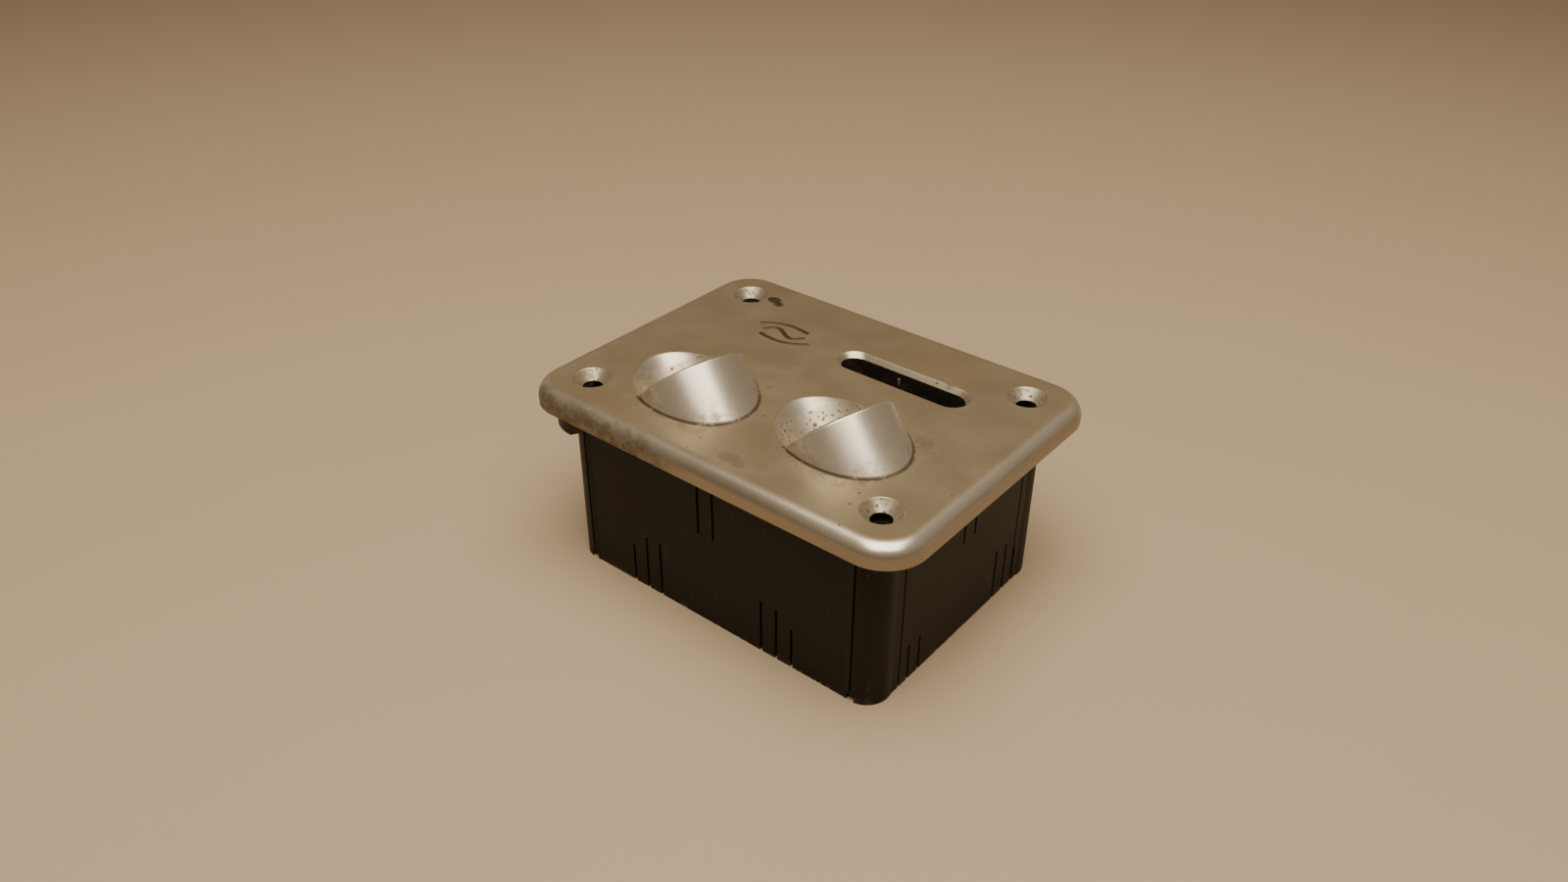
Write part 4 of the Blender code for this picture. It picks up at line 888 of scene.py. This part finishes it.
def lever():
    """The bent wire with its sleeve; its upright end stands in the slot."""
    pivot = LEVER_PIVOT
    tip = LEVER_TIP
    bend = 2.0 * MM
    run = 41.6 * MM
    points = [pivot + Vector((0.95 * MM, 0, 0.1 * MM)), Vector((8.3 * MM, pivot.y, 40.85 * MM)),
              Vector((10.3 * MM, pivot.y, 40.85 * MM)), Vector((tip.x - bend - 0.6 * MM, pivot.y, run))]
    for k in range(9):
        angle = math.radians(-90 + 11.25 * k)
        points.append(Vector((tip.x - bend + bend * math.cos(angle), pivot.y,
                              run + 0.2 * MM + bend + bend * math.sin(angle))))
    points.append(tip)
    body = wire("bent_lever", points, 0.35 * MM, 5)
    join(body, bar("sleeve", 1.15 * MM, pivot - Vector((0, 0.6 * MM, 0)), pivot + Vector((0, 0.6 * MM, 0)), 40))
    cut(body, bar("sleeve_bore", 0.75 * MM, pivot - Vector((0, 5 * MM, 0)), pivot + Vector((0, 5 * MM, 0)), 32))
    smooth(soften(body, 0.06 * MM, 2, 50.0))
    hand_over(body, "lever", "lever_copper", LEVER_COPPER, "wire_lever")


def grommet():
    """A bush with a rounded outer lip, gripping the edge of the cable hole."""
    out = Vector((0, 1, 0))
    body = bar("cable_bush", 6.5 * MM, GROMMET + out * 1.3 * MM, GROMMET + out * 2.8 * MM, 72)
    join(body, bar("neck", 4.7 * MM, GROMMET - out * 2.0 * MM, GROMMET + out * 2.0 * MM, 64),
         bar("inner_lip", 6.5 * MM, GROMMET - out * 2.8 * MM, GROMMET - out * 1.3 * MM, 72))
    cut(body, bar("bush_bore", 3.2 * MM, GROMMET - out * 4 * MM, GROMMET + out * 4 * MM, 48))
    smooth(soften(body, 0.45 * MM, 4))
    hand_over(body, "box", "gasket_rubber", GASKET_RUBBER, "cable_grommet")


def switch_case():
    """The snap switch: case with two ears, and its cover."""
    y0, y1 = 16.9 * MM, 24.1 * MM
    case = block("switch_case", (2.6 * MM, y0, 29.0 * MM), (23.4 * MM, y1, 39.2 * MM))
    for side in (-1, 1):
        y = LEVER_PIVOT.y + side * 1.3 * MM
        join(case, block("ear", (3.6 * MM, y - 0.4 * MM, 38.2 * MM), (6.4 * MM, y + 0.4 * MM, 42.1 * MM)))
    cut(case, bar("ear_hole", 0.75 * MM, (5.0 * MM, 12 * MM, LEVER_PIVOT.z), (5.0 * MM, 26 * MM, LEVER_PIVOT.z), 24),
        block("cavity", (3.3 * MM, 16.0 * MM, 32.6 * MM), (22.7 * MM, 21.1 * MM, 38.0 * MM)),
        bar("plunger_hole", 1.1 * MM, (BUTTON_X, LEVER_PIVOT.y, 37 * MM), (BUTTON_X, LEVER_PIVOT.y, 42 * MM), 24))
    for x in (4.0 * MM, 13.0 * MM, 21.5 * MM):
        cut(case, block("gate", (x - GAP, 17.0 * MM, 28.0 * MM), (x + 0.8 * MM, 20.8 * MM, 33.6 * MM)))
    for x in SWITCH_HOLES:
        cut(case, bar("case_hole", 1.1 * MM, (x, 12 * MM, SWITCH_HOLE_HEIGHT), (x, 28 * MM, SWITCH_HOLE_HEIGHT), 24))
    smooth(soften(case, 0.15 * MM, 2))
    hand_over(case, "box", "switch_plastic", SWITCH_BROWN, "switch_base")
    cover = block("switch_lid", (2.6 * MM, 15.7 * MM, 29.0 * MM), (23.4 * MM, 16.6 * MM, 39.2 * MM))
    for x in SWITCH_HOLES:
        cut(cover, bar("lid_hole", 1.1 * MM, (x, 12 * MM, SWITCH_HOLE_HEIGHT), (x, 28 * MM, SWITCH_HOLE_HEIGHT), 24))
    smooth(soften(cover, 0.15 * MM, 2))
    hand_over(cover, "box", "switch_plastic", SWITCH_BROWN, "switch_cover")
    button = bar("switch_button", 0.8 * MM, (BUTTON_X, LEVER_PIVOT.y, 36.8 * MM), (BUTTON_X, LEVER_PIVOT.y, 40.1 * MM),
                 32)
    smooth(soften(button, 0.25 * MM, 4))
    hand_over(button, "plunger", "plunger_plastic", PLUNGER_RED, "switch_plunger")


# ---------------------------------------------------------------- build

face_plate()
wall_box()
gasket()
carrier()
for number in range(2):
    insert(number)
    seal(number)
    for index, use in enumerate(("line", "neutral", "earth")):
        pin(use, number, index)
lever()
grommet()
switch_case()

for entry in frame["record"]["subparts"]:
    node = frame["nodes"][entry["node"]]
    node.data.materials.clear()
    node.data.materials.append(FINISHES[entry["material_slot"]])


# ---------------------------------------------------------------- floor, light and camera

def plain(name, colour, roughness):
    r = Recipe(name)
    tone = r.mix(r.noise(60.0, 3.0, 0.5), colour, tuple(0.97 * c for c in colour))
    return r.finish(tone, roughness)


def studio():
    select_only()
    bpy.ops.mesh.primitive_plane_add(size=8.0)
    floor = settle("pale_floor")
    floor.data.materials.append(plain("floor_card", (0.50, 0.385, 0.265), 0.75))

    world = bpy.data.worlds.new("room")
    world.use_nodes = True
    world.node_tree.nodes["Background"].inputs["Color"].default_value = (0.33, 0.205, 0.095, 1.0)
    world.node_tree.nodes["Background"].inputs["Strength"].default_value = 0.38
    bpy.context.scene.world = world

    lights = {"overhead": ((0.14, -0.16, 0.80), (0.0, 0.0, 0.03), 0.76, 11.0, (1.0, 0.905, 0.74))}
    for name, (place, target, size, power, colour) in lights.items():
        lamp = bpy.data.lights.new(name, "AREA")
        lamp.shape = "SQUARE"
        lamp.size = size
        lamp.energy = power
        lamp.color = colour
        fitting = bpy.data.objects.new(name, lamp)
        fitting.location = place
        fitting.rotation_euler = (Vector(target) - Vector(place)).to_track_quat("-Z", "Y").to_euler()
        bpy.context.scene.collection.objects.link(fitting)

    eye = bpy.data.cameras.new("eye")
    eye.sensor_width = 36.0
    eye.lens = 28.33
    eye.clip_start = 0.01
    camera = bpy.data.objects.new("eye", eye)
    camera.location = (0.1639, -0.2120, 0.2088)
    camera.rotation_euler = [math.radians(a) for a in (57.31, -0.37, 39.17)]
    bpy.context.scene.collection.objects.link(camera)
    bpy.context.scene.camera = camera


studio()
